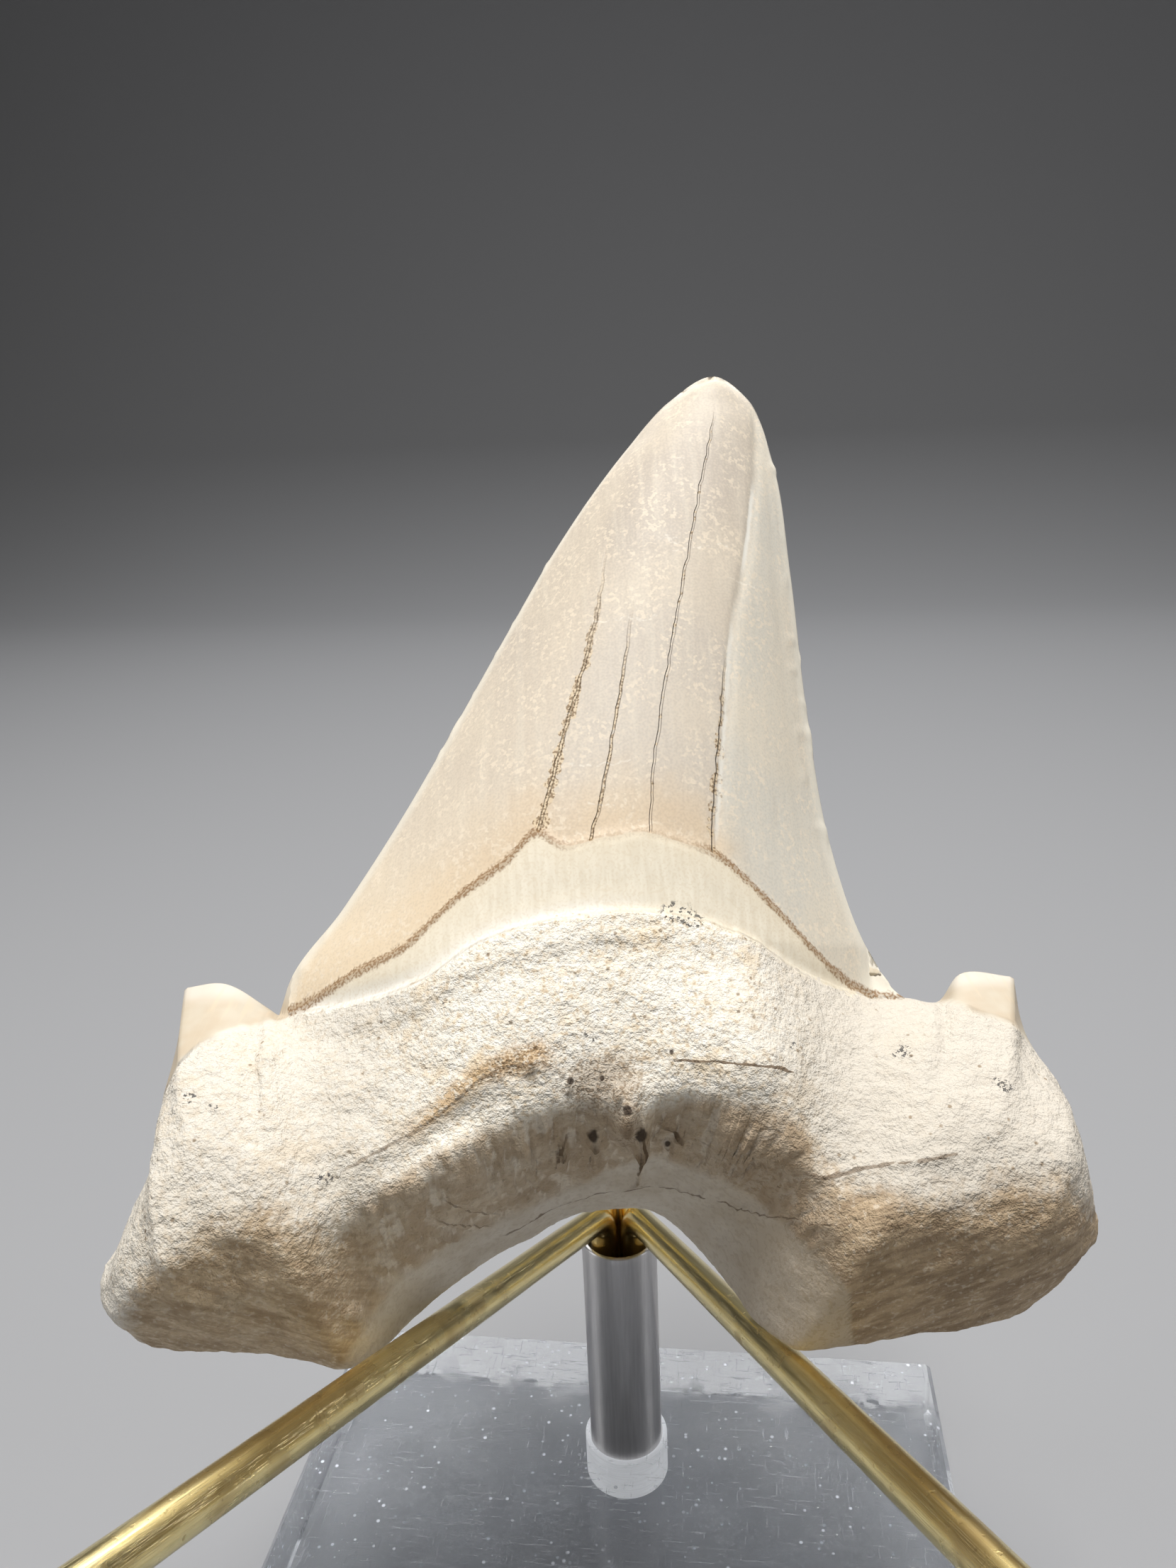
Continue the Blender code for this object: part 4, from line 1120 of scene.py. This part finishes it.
def buildBase(clear, frosted):
    half, bevel, top = base["side"] / 2, base["bevel"], base["height"]
    floor, full = top - base["depth"], top - base["rimEnd"]
    centre = np.array((0.0, stand["postY"]))
    outward = squareRing(half, base["corner"]) - centre
    outward = outward / np.linalg.norm(outward, axis=1, keepdims=True)
    # square rings as how far in and how high, then the socket's as radius and height
    squares = [(base["inner"], 0.0), (bevel, 0.0), (0.0, bevel), (0.0, top - bevel), (bevel, top)]
    circles = [(base["mouth"], top), (base["mouth"], top - base["rim"])]
    circles += [(base["socket"], z) for z in np.linspace(full, floor, base["wallRings"])]
    circles += [(base["middle"], floor)]
    grid = []
    for inset, z in squares:
        ring = squareRing(half - inset, base["corner"] - min(inset, bevel))
        grid.append(np.column_stack([ring, np.full(len(ring), z)]))
    grid += [np.column_stack([centre + outward * radius, np.full(len(outward), z)]) for radius, z in circles]
    grid = np.stack(grid)

    rows, around = grid.shape[:2]
    vertices = np.concatenate([grid.reshape(-1, 3), [(0, 0, 0)], [(*centre, floor)]])
    faces = cappedFaces(rows, around, flip=True)
    piece = makePiece("base_block", vertices, faces, "acrylic_base", [clear, frosted])
    piece.data.set_sharp_from_angle(angle=radians(15))
    # the socket's faces take the second look: all past the squares but the fan that closes the bottom
    frost = np.zeros(len(faces), np.int32)
    frost[len(squares) * around:] = 1
    frost[(rows - 1) * around:rows * around] = 0
    piece.data.polygons.foreach_set("material_index", frost)
    return piece


def acrylicLook():
    look = Look("clear_acrylic")
    spot = look.place()
    scuff = look.noise(spot, 0.25, 2, 0.6)
    hairs = []
    for turn, sizes, scale, low in ((0.7, (1.0, 14.0, 1.0), 0.5, 0.64), (-0.4, (11.0, 0.8, 1.0), 0.6, 0.66)):
        slant = look.add("Mapping", {}, {"Vector": spot, "Rotation": (0, 0, turn), "Scale": sizes})
        hairs.append(look.noise(slant, scale, 2).ramp(low, low + 0.06))
    dust = look.cells(spot, 0.8).ramp(0.17, 0.07) * look.noise(spot, 0.2, 2).ramp(0.42, 0.58)
    veil = look.noise(spot, 0.07, 2, 0.6).ramp(0.35, 0.7) * 0.10 + 0.06
    height = hairs[0] * -0.01 - hairs[1] * 0.01 + scuff * 0.01
    gloss = scuff.ramp(0.45, 0.7) * 0.08 + 0.02
    clear = look.skin({"Base Color": (0.97, 0.985, 1.0, 1.0), "Roughness": gloss, "IOR": 1.49,
                       "Transmission Weight": 1.0, "Normal": look.bump(height)})
    speck = look.skin({"Base Color": (0.80, 0.84, 0.93, 1.0), "Roughness": 0.6})
    skin = look.shared(dust * 0.8 + hairs[0] * 0.15 + hairs[1] * 0.15 + veil, clear, speck)
    inside = look.add("VolumeAbsorption", {}, {"Color": (0.82, 0.92, 0.97, 1.0), "Density": 2.0})
    return look.finish(skin, inside)


def frostedLook():
    look = Look("frosted_acrylic")
    rings = look.noise(look.stretched(look.place(), (0.3, 0.3, 6.0)), 1.0, 1)
    clear = look.skin({"Base Color": (0.95, 0.97, 1.0, 1.0), "Roughness": 0.45, "IOR": 1.49,
                       "Transmission Weight": 1.0, "Normal": look.bump(rings * 0.04)})
    # painted glow: the wall emits a faint light of its own, standing in for the light the block pipes to it
    chalkAndGlow = look.skin({"Base Color": (0.97, 0.975, 0.99, 1.0), "Roughness": 0.7,
                       "Emission Color": (0.95, 0.97, 1.0, 1.0), "Emission Strength": 0.3})
    return look.finish(look.shared(rings.ramp(0.2, 0.8) * 0.15 + 0.85, clear, chalkAndGlow))


# ---- stage, lights and camera

studio = {
    "floorColor": (0.31, 0.315, 0.33), "floorGloss": 0.75, "floorSize": 3.0, "gap": 0.0001,
    "wallAt": 0.55, "wallRound": 0.45, "wallTop": 1.8, "wallSteps": 24,
    "skyColor": (1.0, 0.98, 0.95), "skyStrength": 0.10,
    "place": (0.0107, -0.0658, 0.0977),  # of the camera
    "pitch": radians(17.1), "roll": radians(-2.4), "yaw": radians(8),
    "focal": 27.02,
}
lamps = [  # name, width and height, strength, place, the point it faces, colour
    ("key", (0.24, 0.18), 3.7, (0.02, -0.055, 0.56), (0.0, 0.0, 0.05), (1.0, 0.98, 0.95)),
    ("left", (0.16, 0.40), 0.48, (-0.42, -0.10, 0.17), (0.0, 0.0, 0.06), (1.0, 1.0, 1.0)),
    ("right", (0.12, 0.40), 0.22, (0.42, -0.06, 0.19), (0.0, 0.0, 0.06), (1.0, 1.0, 1.0)),
    ("back", (0.7, 0.13), 1.7, (0.0, 0.55, 0.44), (0.0, 0.0, 0.03), (1.0, 1.0, 1.0)),
]


def buildStage():
    # floor that sweeps up into a wall behind
    look = Look("stage")
    skin = look.skin({"Base Color": (*studio["floorColor"], 1.0), "Roughness": studio["floorGloss"]})
    angle = np.linspace(0, pi / 2, studio["wallSteps"])
    radius, far, reach = studio["wallRound"], studio["wallAt"], studio["floorSize"]
    y = np.concatenate([[-reach], far + radius * np.sin(angle), [far + radius]])
    z = np.concatenate([[0], radius * (1 - np.cos(angle)), [studio["wallTop"]]]) - studio["gap"]
    x = np.array((-reach, reach))
    grid = np.stack(np.broadcast_arrays(x[:, None], y, z), -1).reshape(-1, 3)
    n = len(y)
    quads = [(i, n + i, n + i + 1, i + 1) for i in range(n - 1)]
    meshInScene("stage", grid, quads, [look.finish(skin)])


def addSoftbox(name, size, strength, place, aim, color):
    lamp = bpy.data.lights.new(name, "AREA")
    lamp.shape = "RECTANGLE"
    lamp.size, lamp.size_y = size
    lamp.energy = strength
    lamp.color = color
    holder = inScene(name, lamp)
    holder.location = place
    holder.rotation_euler = (Vector(aim) - Vector(place)).to_track_quat("-Z", "Y").to_euler()


def buildLight():
    world = bpy.data.worlds.new("studio")
    world.use_nodes = True
    sky = world.node_tree.nodes["Background"]
    sky.inputs["Color"].default_value = (*studio["skyColor"], 1.0)
    sky.inputs["Strength"].default_value = studio["skyStrength"]
    bpy.context.scene.world = world
    for lamp in lamps:
        addSoftbox(*lamp)


def buildCamera():
    lens = bpy.data.cameras.new("camera")
    lens.lens = studio["focal"]
    lens.sensor_width = 36.0
    lens.clip_start = 0.002
    lens.clip_end = 20.0
    camera = inScene("camera", lens)
    turn = (Matrix.Rotation(studio["yaw"], 4, "Z") @ Matrix.Rotation(pi / 2 - studio["pitch"], 4, "X")
            @ Matrix.Rotation(studio["roll"], 4, "Z"))
    camera.matrix_world = Matrix.Translation(Vector(studio["place"])) @ turn
    bpy.context.scene.camera = camera


bpy.context.scene.view_settings.view_transform = "Standard"
buildCamera()
buildLight()
buildStage()
print("camera, lights and stage made")
buildTooth(fossilLook())
print("tooth made")
brass = brassLook()
buildArm("arm_left", "front_arm_left", armCorners(-1), brass)
buildArm("arm_right", "front_arm_right", armCorners(1), brass)
rearFoot = np.array((0.0, arms["legCircle"], arms["mouth"] - arms["legLength"]))
buildArm("arm_rear", "rear_arm", [rearFoot, *map(np.array, arms["rear"])], brass)
print("arms made")
buildPost(nickelLook())
buildBase(acrylicLook(), frostedLook())
print("post and base made")
